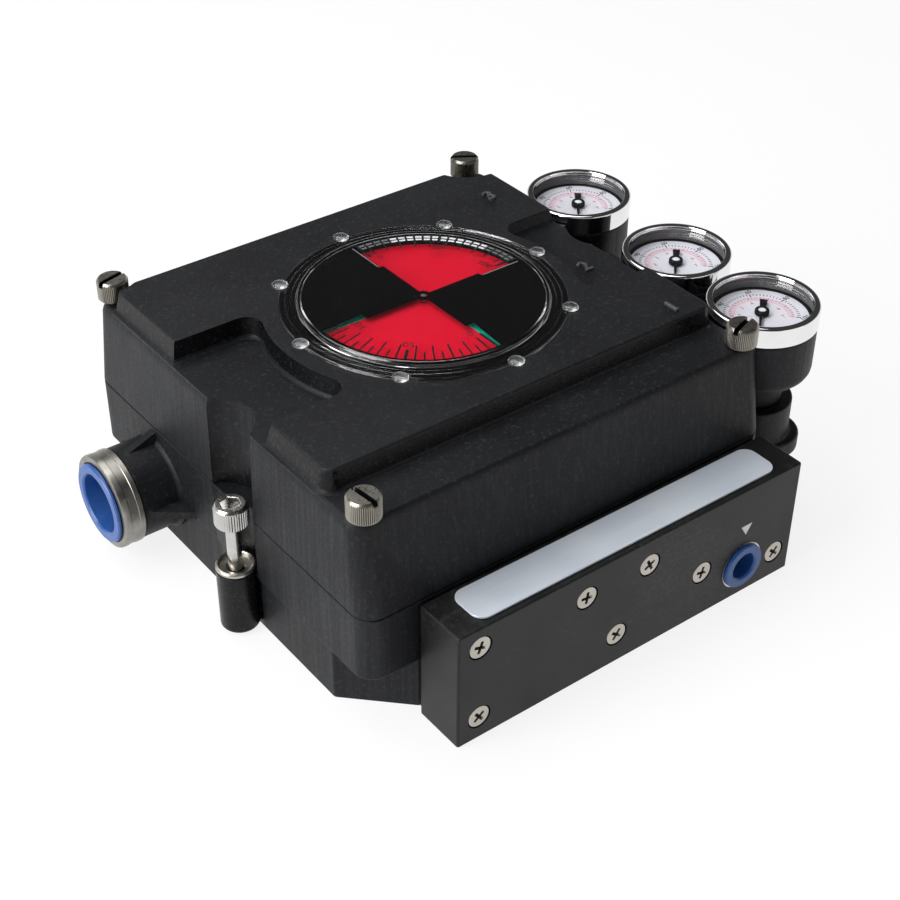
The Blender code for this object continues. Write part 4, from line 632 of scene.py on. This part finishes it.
def pocket_plan(side, front, back, grow, soft=6.0):
    """Outline of a side pocket: straight ends, round corners and an arc about the window."""
    reach = POCKET_ARC + soft
    low = (-math.sqrt(reach ** 2 - (front + soft) ** 2), front + soft)
    high = (-math.sqrt(reach ** 2 - (back - soft) ** 2), back - soft)
    low_turn = math.degrees(math.atan2(-low[1], -low[0]))
    high_turn = math.degrees(math.atan2(-high[1], -high[0]))
    points = [(-97.0, front - grow)]
    points += arc(*low, soft + grow, -90.0, low_turn, 8)
    points += arc(0.0, 0.0, POCKET_ARC - grow, low_turn + 180.0, high_turn + 180.0, 22)[1:-1]
    points += arc(*high, soft + grow, high_turn, 90.0, 8)
    points.append((-97.0, back + grow))
    if side > 0:
        points = [(-x, y) for x, y in reversed(points)]
    return points


def pocket(side, front, back, floor):
    sections = [(height, pocket_plan(side, front, back, -grow)) for grow, height in
                [(inset, height) for inset, height in rise(floor, 1.6)]]
    sections += [(height, pocket_plan(side, front, back, 1.0 - grow)) for grow, height in
                 reversed([(inset, 2 * TOP_Z - height - 0.0) for inset, height in foot(TOP_Z, 1.0)])]
    sections.append((TOP_Z + OVERCUT, pocket_plan(side, front, back, 1.0)))
    return loft(sections)


def cover_outline(side_inset, front_inset):
    side = HALF - side_inset
    front = HALF - front_inset
    return rounded(-side, side, -front, front, CORNER)


def plateau_outline(grow):
    return rounded(-82.0 - grow, 78.0 + grow, -62.0 - grow, 71.0 + grow, 4.0 + max(grow, -1.5))


def cover_block():
    sections = [(47.3, cover_outline(0.4, 0.4)), (47.45, cover_outline(0.12, 0.14)), (47.8, cover_outline(0.0, 0.05))]
    for i in range(7):
        turn = math.pi / 2 * i / 6
        inward = 1.0 - math.cos(turn)
        sections.append((77.4 + 4.6 * math.sin(turn), cover_outline(0.7 + 1.9 * inward, 4.65 + 2.4 * inward)))
    block = loft(sections)
    sections = [(81.0, plateau_outline(3.0)), (82.0, plateau_outline(3.0))]
    sections = [(height, plateau_outline(1.2 + grow)) for grow, height in foot(LEDGE_Z, 1.6)]
    sections.insert(0, (81.0, plateau_outline(1.2 + 1.6)))
    sections += [(height, plateau_outline(-inset)) for inset, height in lid(TOP_Z, 1.0)]
    return fuse(block, loft(sections))


def build_cover():
    """The upper shell: rolled shoulder, raised top with two side pockets, and gauge notches."""
    cover = cover_block()
    cut(cover, pocket(-1, -29.7, 28.3, 81.9), pocket(1, -29.8, 24.5, 84.5))
    for _, x, y, _ in THUMBS:
        if y > 0.0:
            seat = 8.5 if x < 0.0 else 17.0
            profile = [(seat - grow, height) for grow, height in rise(LEDGE_Z, 1.4)]
            profile += [(seat + 0.9 - grow, 2 * TOP_Z - height) for grow, height in reversed(foot(TOP_Z, 0.9))]
            profile = [(0.0, LEDGE_Z), *profile, (seat + 0.9, 94.0), (0.0, 94.0)]
            cut(cover, moved(turned(profile), x, y))
        cut(cover, moved(rod(2.4, 43.0, 86.0, SMALL), x, y))
    hollow = fuse(cavity(43.0, 78.0, 1.0), rod(53.5, 77.0, 86.0, FINE))
    for _, y, _ in GAUGES:
        cut(hollow, moved(rod(24.6, 50.5, 94.0), GAUGE_X, y))
    cut(cover, hollow)
    for (x, y), level in zip(CHANNELS, (81.9, 84.5)):
        flare = [(CHANNEL + 1.0 - grow, 2 * level - height) for grow, height in reversed(foot(level, 1.0))]
        cut(cover, moved(turned([(0.0, 43.0), (CHANNEL, 43.0), *flare, (CHANNEL + 1.0, 94.0), (0.0, 94.0)]), x, y))
    for _, y, _ in GAUGES:
        cut(cover, moved(rod(21.1, 54.5, 94.0, FINE), GAUGE_X, y))
    cut(cover, rod(41.0, 82.0, 94.0, FINE), tube(45.0, 48.3, 89.0, 94.0, FINE))
    finish("upper_shell", cover, "resin", stands_for=("cover",))


# Window and indicator


def window_ridges(level, *starts):
    """Fine turned ridges on the window's flange."""
    points = []
    for start in starts:
        points += [(start, level), (start + 0.08, level + 0.06), (start + 0.2, level + 0.08),
                   (start + 0.32, level + 0.06), (start + 0.4, level)]
    return points


def build_window():
    outer = 50.3
    profile = [
        (0.0, 93.2), (42.6, 93.2), (43.2, 93.12), (43.65, 92.85), (43.9, 92.4), (44.0, 91.8), (44.15, 91.5),
        (44.4, 91.35), *window_ridges(91.35, 45.6, 47.6), (outer - 0.5, 91.35), (outer - 0.25, 91.45),
        (outer - 0.1, 91.42), (outer, 91.25), (outer, 90.3),
        (42.6, 90.3), (42.6, 91.5), (42.2, 91.9), (0.0, 91.9),
    ]
    lens = turned(profile, 2 * FINE)
    finish("clear_window", lens, "clear", stands_for=("window_lens",), sharp=30.0)
    # Painted shade: a black ring under the window's flange darkens what is seen through it.
    seat = turned(((41.1, 90.02), (50.0, 90.02), (50.0, 90.22), (42.45, 90.22), (42.45, 90.7), (41.1, 90.7)),
                  FINE, closed=True)
    finish("flange_shade_ring", seat, "mask", sharp=30.0)
    domes = []
    for x, y in arc(0.0, 0.0, 50.8, 0.0, 360.0, 8)[:-1]:
        curve = [(2.85 * math.cos(a), 91.9 + 1.15 * math.sin(a)) for a in [math.pi / 2 * i / 7 for i in range(7)]]
        domes.append(moved(turned([(0.0, 91.55), (2.9, 91.55), *curve, (0.0, 93.05)], 36), x, y))
    finish("window_domes", joined(domes), "dome", sharp=50.0)


def sector(centre, inner, outer, half, z, thickness, steps=24):
    return prism(arc(0, 0, outer, centre - half, centre + half, steps)
                 + arc(0, 0, inner, centre + half, centre - half, steps), z, z + thickness)


def quadrant(centre, growth, radius, z, thickness):
    """A quadrant of a disc whose straight edges lie a little outside or inside the quarter lines."""
    spread = 45.0 + math.degrees(math.asin(growth / radius))
    apex = [(-growth * math.sqrt(2.0), 0.0)]
    return moved(prism(apex + arc(0, 0, radius, -spread, spread, 40), z, z + thickness), turn=spun(centre))


MASK_HUB = 2.4
MASK_STEP = 24.0
OPENINGS = ((45.0, 1.4, 1.6), (225.0, 3.3, 2.3))
MASK_RIM = 40.8
MASK_TOP = 91.6
PRINT_Z = 91.82
RED_SPREAD = 2.9


def opening(centre, step_width, rim_width):
    """A quadrant that grows wider by a small step towards its rim."""
    points = []
    for side in (-1.0, 1.0):
        edge = []
        for radius, offset in ((MASK_HUB, 0.0), (MASK_STEP, 0.0), (MASK_STEP, step_width), (MASK_RIM, rim_width)):
            along = math.sqrt(radius ** 2 - offset ** 2)
            x, y = along, offset * side
            turn = math.radians(centre + 45.0 * side)
            edge.append((x * math.cos(turn) - y * math.sin(turn), x * math.sin(turn) + y * math.cos(turn)))
        points.append(edge)
    spread = 45.0 + math.degrees(math.asin(rim_width / MASK_RIM))
    rim = arc(0, 0, MASK_RIM, centre - spread, centre + spread, 24)[1:-1]
    hub = arc(0, 0, MASK_HUB, centre + 45.0, centre - 45.0, 10)[1:-1]
    return points[0] + rim + list(reversed(points[1])) + hub


def tick(angle, inner, outer, width, z, thickness=0.05):
    half = width / 2
    return moved(box(inner, outer, -half, half, z, z + thickness), turn=spun(angle))


def scale_print(centre):
    """Ticks of one sector: long and short by turns, with broad ones at the middle and the ends."""
    marks = []
    for i in range(21):
        angle = centre - 45.0 + 4.5 * i
        if i in (0, 20):
            marks.append(tick(angle, 31.5, MASK_RIM + 0.4, 0.9, PRINT_Z))
        elif i == 10:
            marks.append(tick(angle, 35.6, MASK_RIM + 0.4, 1.1, PRINT_Z))
        elif i % 2:
            marks.append(tick(angle, 32.8, MASK_RIM + 0.4, 0.62, PRINT_Z))
        else:
            marks.append(tick(angle, 36.8, MASK_RIM + 0.4, 0.62, PRINT_Z))
    for value, angle, radius in (("0", 39.8, 29.6), ("50", 0.0, 32.4), ("100", -39.0, 29.4)):
        numeral = moved(words(value, 3.0, 0.05), radius, 0.0, PRINT_Z + 0.03, spun(-90.0))
        marks.append(moved(numeral, turn=spun(centre + angle)))
    return marks


def reflection_cells():
    """Two rows of pale cells between the ticks along the far rim: a painted reflection, bright in the middle of the rim
    and dim towards its ends.
    """
    bright = []
    dim = []
    for i in range(20):
        middle = 45.0 - 42.75 + 4.5 * i
        for inner, outer in ((37.5, 38.6), (39.3, 40.5)):
            cell = sector(middle, inner, outer, 1.65, PRINT_Z - 0.08, 0.04, 3)
            (bright if abs(middle - 45.0) < 27.0 else dim).append(cell)
    return bright, dim


def build_indicator():
    mask = rod(42.2, MASK_TOP - 0.8, MASK_TOP, FINE)
    for shape in OPENINGS:
        cut(mask, prism(opening(*shape), 80.0, 95.0))
    cut(mask, rod(1.4, 80.0, 95.0, SMALL))
    finish("window_mask", mask, "mask", stands_for=("indicator_mask",), sharp=30.0)
    red = fuse(quadrant(45.0, RED_SPREAD, 39.5, 88.1, 0.8), quadrant(225.0, RED_SPREAD, 39.5, 88.1, 0.8))
    finish("disc_red", cut(red, rod(1.4, 80.0, 95.0, SMALL)), "red", "shaft", ("indicator_disc",), 30.0)
    green = [quadrant(centre, -RED_SPREAD - 0.02, 39.5, 88.1, 0.8) for centre in (135.0, 315.0)]
    finish("disc_green", joined(green), "green", "shaft", sharp=30.0)
    finish("window_scale", joined(scale_print(45.0) + scale_print(225.0)), "print", smooth_shaded=False)
    # Painted reflection on the far rim: bright cells in the middle, dim ones towards the ends.
    bright, dim = reflection_cells()
    finish("bright_reflection_cells", joined(bright), "bright_painted_reflection", smooth_shaded=False)
    finish("dim_reflection_cells", joined(dim), "dim_painted_reflection", smooth_shaded=False)
    # Painted highlight: thin grey strips beside the far opening's edges, beyond the step, stand in for light on the
    # mask's edges.
    edges = []
    for side in (-1.0, 1.0):
        edge = box(MASK_STEP + 0.4, MASK_RIM - 0.4, -0.18, 0.18, MASK_TOP, MASK_TOP + 0.05)
        moved(edge, 0.0, side * (OPENINGS[0][2] + 0.25))
        edges.append(moved(edge, turn=spun(45.0 + side * 45.0)))
    finish("mask_edge_highlights", joined(edges), "edge_highlight_grey", smooth_shaded=False)


# Fasteners


def ribbed(radius, depth, count):
    """Outline of a straight knurl."""
    points = []
    for i in range(count):
        for share, cutback in ((0.0, depth), (0.25, 0.0), (0.6, 0.0)):
            angle = math.tau * (i + share) / count
            points.append(((radius - cutback) * math.cos(angle), (radius - cutback) * math.sin(angle)))
    return points


def build_thumb_screws():
    count = 54
    plain = [point for point in ribbed(5.0, 0.0, count)]
    master = loft((
        (82.3, ribbed(4.9, 0.0, count)), (82.7, ribbed(5.3, 0.0, count)), (83.0, ribbed(5.6, 0.36, count)),
        (89.6, ribbed(5.6, 0.36, count)), (89.9, ribbed(5.32, 0.0, count)), (90.35, plain), (90.5, ribbed(4.8, 0.0, count)),
    ))
    fuse(master, rod(2.0, 34.0, 83.3, SMALL))
    cut(master, box(-12.0, 12.0, -0.95, 0.95, 88.5, 95.0))
    for name, x, y, slot_turn in THUMBS:
        twin = bpy.data.objects.new("working", master.data.copy())
        bpy.context.scene.collection.objects.link(twin)
        moved(twin, x, y, 0.0, spun(slot_turn))
        finish(f"thumb_{name}", twin, "aged_nickel", f"{name}_thumb_screw", (f"thumb_screw_{name}",), 30.0)
        # Painted shade: thin black sheets on the slot's walls and floor darken the slot.
        slot_shade = joined([box(-5.1, 5.1, -0.93, -0.89, 88.52, 90.2), box(-5.1, 5.1, 0.89, 0.93, 88.52, 90.2),
                         box(-5.1, 5.1, -0.88, 0.88, 88.52, 88.56)])
        finish(f"slot_painted_shade_{name}", moved(slot_shade, x, y, 0.0, spun(slot_turn)), "print",
               f"{name}_thumb_screw", smooth_shaded=False)
    bpy.data.objects.remove(master)


def thread(radius, bottom, top, pitch):
    """Zigzag profile of a threaded end."""
    points = []
    steps = int((top - bottom) / pitch)
    for i in range(steps):
        z = bottom + pitch * i
        points += [(radius, z + 0.15 * pitch), (radius, z + 0.3 * pitch), (radius - 0.55 * pitch, z + 0.8 * pitch)]
    return points


def build_mounting_screws():
    count = 40
    for side, x, y in LUGS:
        screw = turned([
            (0.0, 0.0), (2.9, 0.0), (3.3, 0.7), *thread(3.9, 0.8, 9.0, 1.0), (3.3, 9.2), (2.5, 10.0), (2.5, 44.6),
            (2.9, 45.0), (4.5, 45.0), (4.5, 46.0), (0.0, 46.0)], 32)
        head = loft((
            (45.0, ribbed(5.6, 0.0, count)), (45.5, ribbed(5.95, 0.22, count)), (51.6, ribbed(5.95, 0.22, count)),
            (52.0, ribbed(5.7, 0.0, count)), (52.6, ribbed(5.35, 0.0, count)), (53.0, ribbed(4.9, 0.0, count)),
        ))
        fuse(screw, head)
        hexagon = arc(0, 0, 3.6, 15, 375, 6)[:-1]
        lip = arc(0, 0, 4.0, 15, 375, 6)[:-1]
        cut(screw, loft(((48.5, hexagon), (52.7, hexagon), (53.1, lip), (56.0, lip))))
        finish(f"cap_screw_{side}", moved(screw, x, y), "steel", f"{side}_mounting_screw", (f"mounting_screw_{side}",), 30.0)
        eyelet = turned(((2.9, 12.0), (4.0, 12.0), (4.0, 25.8), (6.5, 25.8), (6.9, 26.2), (6.9, 27.0), (6.6, 27.5),
                         (6.1, 27.6), (5.7, 27.3), (5.5, 26.3), (3.5, 26.1), (2.9, 25.6)), ROUND, closed=True)
        finish(f"eyelet_{side}", moved(eyelet, x, y), "nickel", stands_for=(f"lug_bushing_{side}",), sharp=30.0)


def cross_recess(depth):
    """A tapered cross with pointed bottom, as a Phillips driver leaves it."""
    arms = []
    for turn in (0.0, 90.0):
        arm = loft((
            (-0.05, rounded(-2.45, 2.45, -0.6, 0.6, 0.25, 2)), (depth, rounded(-1.2, 1.2, -0.4, 0.4, 0.15, 2)),
        ))
        arms.append(moved(arm, turn=spun(turn)))
    return fuse(arms[0], arms[1])


def build_flat_screws():
    painted_shade = []
    for number, (x, z) in enumerate(FLAT_SCREWS, 1):
        screw = turned(((0.0, 0.0), (3.7, 0.0), (4.0, 0.12), (4.2, 0.4), (2.1, 2.5), (2.1, 24.4), (1.3, 25.2),
                        (0.0, 25.2)), 40)
        cut(screw, cross_recess(1.9))
        turn = (20.0, 52.0, 8.0, 35.0, 64.0, 15.0, 40.0)[number - 1]
        moved(screw, turn=spun(turn))
        # Painted shade: a thin black cross inside each cross recess darkens it.
        for quarter in (0.0, 90.0):
            shade_cross = box(-2.1, 2.1, -0.45, 0.45, 0.75 + quarter * 0.0002, 0.8 + quarter * 0.0002)
            painted_shade.append(moved(moved(shade_cross, turn=spun(turn + quarter)), x, FACE_Y + 0.1, z, ALONG_Y))
        moved(screw, x, FACE_Y + 0.1, z, ALONG_Y)
        finish(f"flat_screw_{number}", screw, "nickel", stands_for=(f"manifold_screw_{number}",), sharp=30.0)
    finish("recess_painted_shade", joined(painted_shade), "print", smooth_shaded=False)


# Manifold and plugs


def build_block():
    left, right, top = BLOCK
    block = soft_box(left, right, FACE_Y, -87.2, 0.0, top, 0.7, 0.9)
    for x, z in FLAT_SCREWS:
        hole = turned(((0.0, -112.0), (4.55, -112.0), (4.55, -106.5), (2.4, -104.2), (2.4, -84.0), (0.0, -84.0)), 40)
        cut(block, moved(hole, x, 0.0, z, ALONG_Y))
    mouth = turned(((0.0, -112.0), (7.6, -112.0), (7.6, -107.2), (7.0, -106.6), (7.0, -93.2), (3.0, -91.2),
                    (3.0, -84.0), (0.0, -84.0)))
    cut(block, moved(mouth, PORT[0], 0.0, PORT[1], ALONG_Y))
    finish("air_manifold", block, "block", stands_for=("manifold_block",))
    rim = tube(8.75, 9.2, -0.03, 0.02, ROUND)
    finish("port_chamfer", moved(rim, PORT[0], FACE_Y, PORT[1], ALONG_Y), "aluminium", smooth_shaded=False)
    plate = []
    for inset, height in [(0.0, 47.2), (0.0, 47.68), (0.12, 47.8)]:
        plate.append((height, rounded(-56.7 + inset, 73.3 - inset, -104.95 + inset, -89.45 - inset, 4.6 - inset, 12)))
    finish("bare_plate", loft(plate), "foil", stands_for=("name_plate",), sharp=25.0)


def plug_shape(flange, outer, seat, depth):
    """A moulded transit plug: a rounded lip, a hollow with one step, and a closed floor."""
    inner = outer - 1.6
    floor = seat + depth - 1.6
    return turned((
        (0.0, floor), (inner - 2.6, floor), (inner - 2.2, seat + depth * 0.45), (inner - 0.5, seat + depth * 0.42),
        (inner, seat - 0.6), (inner + 0.6, seat - 1.2), (flange - 0.5, seat - 1.2), (flange, seat - 0.7),
        (flange, seat), (outer, seat), (outer - 0.6, seat + depth), (0.0, seat + depth),
    ))


def build_plugs():
    supply = plug_shape(8.7, 6.7, FACE_Y - 0.3, 11.0)
    finish("port_plug", moved(supply, PORT[0], 0.0, PORT[1], ALONG_Y), "blue", stands_for=("supply_plug",), sharp=30.0)
    ring = turned(((15.3, -109.0), (16.9, -109.0), (17.4, -108.8), (17.7, -108.2), (17.7, -106.4), (17.5, -106.2),
                   (17.5, -103.2), (17.7, -103.0), (17.7, -101.3), (17.4, -101.0), (15.3, -101.0)), FINE, closed=True)
    finish("entry_ring", moved(ring, 0.0, CONDUIT_Y, CONDUIT_Z, ALONG_X), "zinc", stands_for=("conduit_ring",), sharp=30.0)
    entry = plug_shape(15.0, 12.7, -109.3, 16.0)
    finish("entry_plug", moved(entry, 0.0, CONDUIT_Y, CONDUIT_Z, ALONG_X), "blue", stands_for=("conduit_plug",), sharp=30.0)


# Gauges


def dial_marks(inner, outer, count, every, z, width):
    marks = []
    for i in range(count + 1):
        start = outer - (outer - inner) * (1.0 if i % every == 0 else 0.6)
        marks.append(tick(225.0 - 270.0 * i / count, start, outer, width * (1.5 if i % every == 0 else 1.0), z))
    return marks


def scale_numbers(values, radius, height, z):
    marks = []
    for i, value in enumerate(values):
        angle = math.radians(225.0 - 270.0 * i / (len(values) - 1))
        marks.append(moved(words(value, height, 0.05), radius * math.cos(angle), radius * math.sin(angle), z + 0.02))
    return marks


def build_gauge(name, y, rest):
    body = f"{name}_pointer"
    case = turned((
        (0.0, 34.3), (4.0, 34.3), *thread(4.75, 34.8, 45.0, 1.2), (4.4, 46.3), (10.6, 46.3), (11.0, 46.7), (11.0, 55.6),
        (11.6, 56.5), (15.0, 56.5), (16.6, 56.8), (18.0, 57.5), (19.1, 58.6), (19.8, 60.0), (20.0, 61.4),
        (20.0, 77.1), (19.7, 77.5), (1.7, 77.5), (1.7, 72.7), (0.0, 72.7)), FINE)
    finish(f"case_{name}", moved(case, GAUGE_X, y), "resin", stands_for=(f"gauge_{name}_case",), sharp=30.0)
    bezel = turned((
        (19.1, 77.8), (20.1, 77.8), (20.3, 78.0), (20.3, 84.4), (20.22, 84.9), (20.0, 85.22), (19.65, 85.42),
        (19.25, 85.5), (18.35, 85.5), (17.97, 85.4), (17.77, 85.15), (17.7, 84.7), (17.7, 84.0), (19.1, 84.0)),
        FINE, closed=True)
    finish(f"bezel_{name}", moved(bezel, GAUGE_X, y), "chrome", stands_for=(f"gauge_{name}_bezel",), sharp=30.0)
    glass = soft_rod(18.8, 82.3, 83.7, 0.3, FINE)
    finish(f"glass_{name}", moved(glass, GAUGE_X, y), "glass", stands_for=(f"gauge_{name}_lens",), sharp=30.0)
    dial = tube(1.7, 18.8, 77.8, 78.4, FINE)
    finish(f"dial_{name}", moved(dial, GAUGE_X, y), "white", stands_for=(f"gauge_{name}_dial",), sharp=30.0)
    liner = turned(((18.35, 78.75), (18.35, 82.1), (18.75, 82.1), (18.75, 78.5), (18.5, 78.5)), FINE, closed=True)
    finish(f"liner_{name}", moved(liner, GAUGE_X, y), "liner", sharp=30.0)
    # Painted shade: a black ring on the dial's edge, at the foot of the inner wall, where the gap lies in shade.
    dial_foot_shade = tube(16.9, 18.8, 78.4, 78.46, FINE)
    finish(f"dial_edge_shade_{name}", moved(dial_foot_shade, GAUGE_X, y), "print", smooth_shaded=False)
    band = prism(arc(0, 0, 11.6, -45.0, 225.0, 48) + arc(0, 0, 9.2, 225.0, -45.0, 48), 78.4, 78.42)
    finish(f"dial_band_{name}", moved(band, GAUGE_X, y), "pink", smooth_shaded=False)
    outer = dial_marks(12.0, 13.7, 50, 10, 78.42, 0.26)
    outer += scale_numbers(("0", "20", "40", "60", "80", "100"), 15.2, 1.9, 78.42)
    inner = dial_marks(10.2, 11.5, 35, 5, 78.44, 0.24)
    inner += scale_numbers(("0", "1", "2", "3", "4", "5", "6", "7"), 7.7, 1.8, 78.42)
    finish(f"scale_{name}", moved(joined(outer), GAUGE_X, y), "print", smooth_shaded=False)
    finish(f"inner_scale_{name}", moved(joined(inner), GAUGE_X, y), "red_print", smooth_shaded=False)
    needle = prism([(-8.3, -1.3), (-8.1, -1.4), (-3.2, -0.95), (0.0, -0.7), (12.8, -0.25), (13.5, 0.0), (12.8, 0.25),
                    (0.0, 0.7), (-3.2, 0.95), (-8.1, 1.4), (-8.3, 1.3)], 79.2, 79.8)
    fuse(needle, rod(2.6, 79.0, 79.9, 32), rod(1.3, 73.0, 79.1, SMALL))
    place = Matrix.Translation((GAUGE_X, y, 0.0)) @ spun(rest)
    finish(f"needle_{name}", moved(needle, turn=place), "print", body, (f"gauge_{name}_pointer",), 30.0)
    rim = turned(((2.6, 79.9), (2.6, 80.3), (2.4, 80.6), (2.0, 80.7), (1.5, 80.6), (1.45, 79.9)), 32, closed=True)
    finish(f"hub_rim_{name}", moved(rim, GAUGE_X, y), "print", body, sharp=30.0)
    # Painted reflection: the hub cap takes a pale non-metal tone in place of a bright chrome reflection.
    cap = [(1.4 * math.cos(a), 80.35 + 0.3 * math.sin(a)) for a in [math.pi / 2 * i / 5 for i in range(5)]]
    hub = turned([(0.0, 79.9), (1.4, 79.9), *cap, (0.0, 80.65)], 32)
    finish(f"hub_cap_{name}", moved(hub, GAUGE_X, y), "silver_print_and_sheen", body, sharp=50.0)


# Plain raised numerals in place of the words on the cover


def build_raised_marks():
    marks = []
    for text, x, y, level in (("1", 65.5, -55.2, TOP_Z), ("2", 65.6, -9.9, 84.5), ("3", 65.0, 45.2, TOP_Z)):
        marks.append(moved(words(text, 6.0, 1.5, 0.2), x, y, level + 0.2, spun(0.0)))
    # Painted highlight: the raised numerals are a lighter resin than the cover, standing in for glints on their edges.
    finish("raised_numerals", joined(marks), "numeral_sheen", sharp=30.0)
    arrow = prism([(PORT[0] - 2.6, 0.0), (PORT[0] + 2.6, 0.0), (PORT[0], -4.2)], 0.0, 0.06)
    moved(arrow, turn=Matrix.Rotation(math.radians(90.0), 4, "X"))
    finish("port_arrow", moved(arrow, 0.0, FACE_Y + 0.02, 31.0), "silver_print_and_sheen", smooth_shaded=False)


KEPT = {
    "rubber": ("cover_seal", "window_seal", "shaft_seal", "manifold_gasket"),
    "steel": ("main_shaft", "shaft_snap_ring", "follower_arm", "pivot_pin", "return_spring", "pilot_spool"),
    "brass": ("shaft_bushing", "follower_roller"),
    "aluminium": ("cam", "mechanism_plate", "pilot_valve_body", "signal_diaphragm"),
    "resin": ("current_transducer", "terminal_block"),
    "nickel": ("terminal_screw_1", "terminal_screw_2"),
}


def dress_kept_nodes():
    for look, names in KEPT.items():
        for name in names:
            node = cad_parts[name]
            for slot in node.material_slots:
                slot.material = LOOKS[look]


# Stage, lights and camera


def build_stage():
    floor = bpy.data.meshes.new("floor")
    floor.from_pydata([(-4, -4, 0), (4, -4, 0), (4, 4, 0), (-4, 4, 0)], [], [(0, 1, 2, 3)])
    floor_object = bpy.data.objects.new("floor", floor)
    floor_object.location.z = cad_box[0][2] - 0.0002
    bpy.context.scene.collection.objects.link(floor_object)
    look = Look("pale_floor", (0.86, 0.86, 0.86), 0.9).set(Specular_IOR_Level=0.1)
    path = look.tree.nodes.new("ShaderNodeLightPath")
    glow = look.tree.nodes.new("ShaderNodeEmission")
    glow.inputs["Strength"].default_value = 1.0
    mix = look.tree.nodes.new("ShaderNodeMixShader")
    seen = look.math("MAXIMUM", path.outputs["Is Camera Ray"], path.outputs["Is Glossy Ray"])
    seen = look.math("MAXIMUM", seen, path.outputs["Is Transmission Ray"])
    look.tree.links.new(look.math("MULTIPLY", seen, 0.84), mix.inputs[0])
    look.tree.links.new(look.shader.outputs[0], mix.inputs[1])
    look.tree.links.new(glow.outputs[0], mix.inputs[2])
    look.tree.links.new(mix.outputs[0], look.tree.nodes["Material Output"].inputs["Surface"])
    floor.materials.append(look.material)


def build_world():
    """White behind the object, soft light on it, and a studio that is bright low down and dim overhead."""
    world = bpy.data.worlds.new("studio")
    bpy.context.scene.world = world
    world.use_nodes = True
    tree = world.node_tree
    tree.nodes.clear()

    def node(kind, **values):
        made = tree.nodes.new(kind)
        for name, value in values.items():
            made.inputs[name.replace("_", " ")].default_value = value
        return made

    path = node("ShaderNodeLightPath")
    places = node("ShaderNodeTexCoord")
    split = node("ShaderNodeSeparateXYZ")
    tree.links.new(places.outputs["Generated"], split.inputs[0])
    height = node("ShaderNodeMapRange", From_Min=0.05, From_Max=0.38, To_Min=1.0, To_Max=0.045)
    tree.links.new(split.outputs["Z"], height.inputs["Value"])
    plain = node("ShaderNodeBackground", Strength=0.28)
    mirrored = node("ShaderNodeBackground")
    tree.links.new(height.outputs["Result"], mirrored.inputs["Strength"])
    white = node("ShaderNodeBackground", Strength=1.0)
    for background in (plain, mirrored, white):
        background.inputs["Color"].default_value = (1.0, 1.0, 1.0, 1.0)
    bent = node("ShaderNodeMath")
    bent.operation = "MAXIMUM"
    tree.links.new(path.outputs["Is Glossy Ray"], bent.inputs[0])
    tree.links.new(path.outputs["Is Transmission Ray"], bent.inputs[1])
    lower = node("ShaderNodeMixShader")
    tree.links.new(bent.outputs[0], lower.inputs[0])
    tree.links.new(plain.outputs[0], lower.inputs[1])
    tree.links.new(mirrored.outputs[0], lower.inputs[2])
    upper = node("ShaderNodeMixShader")
    tree.links.new(path.outputs["Is Camera Ray"], upper.inputs[0])
    tree.links.new(lower.outputs[0], upper.inputs[1])
    tree.links.new(white.outputs[0], upper.inputs[2])
    output = node("ShaderNodeOutputWorld")
    tree.links.new(upper.outputs[0], output.inputs["Surface"])


def lamp(name, place, size, power, target=(0.0, 0.0, 0.04)):
    light = bpy.data.lights.new(name, "AREA")
    light.shape = "RECTANGLE"
    light.size, light.size_y = size
    light.energy = power
    holder = bpy.data.objects.new(name, light)
    holder.location = place
    holder.rotation_euler = (Vector(place) - Vector(target)).to_track_quat("Z", "Y").to_euler()
    bpy.context.scene.collection.objects.link(holder)


def build_lights():
    lamp("key", (-0.95, 0.05, 0.62), (0.7, 0.9), 15.0)
    lamp("top", (-0.10, 0.35, 1.05), (0.9, 0.9), 8.5)
    lamp("fill", (0.35, -1.0, 0.35), (0.8, 0.5), 0.5)


def build_camera():
    azimuth, elevation, roll = math.radians(-37.47), math.radians(36.53), math.radians(0.4)
    back = Vector((math.sin(azimuth) * math.cos(elevation), -math.cos(azimuth) * math.cos(elevation), math.sin(elevation)))
    level = Vector((math.cos(azimuth), math.sin(azimuth), 0.0))
    rising = back.cross(level)
    right = math.cos(roll) * level + math.sin(roll) * rising
    up = -math.sin(roll) * level + math.cos(roll) * rising
    camera = bpy.data.cameras.new("camera")
    camera.sensor_width = 36.0
    camera.lens = 1695.63 / 900.0 * 36.0
    camera.clip_start = 0.01
    camera.dof.use_dof = False
    holder = bpy.data.objects.new("camera", camera)
    turn = Matrix((right, up, back)).transposed().to_4x4()
    holder.matrix_world = Matrix.Translation(Vector((-298.14, -404.55, 397.73)) * MM) @ turn
    bpy.context.scene.collection.objects.link(holder)
    bpy.context.scene.camera = holder


build_base()
build_cover()
build_window()
build_indicator()
build_thumb_screws()
build_mounting_screws()
build_flat_screws()
build_block()
build_plugs()
for gauge in GAUGES:
    build_gauge(*gauge)
build_raised_marks()
dress_kept_nodes()
build_stage()
build_world()
build_lights()
build_camera()
bpy.context.scene.view_settings.view_transform = "Standard"
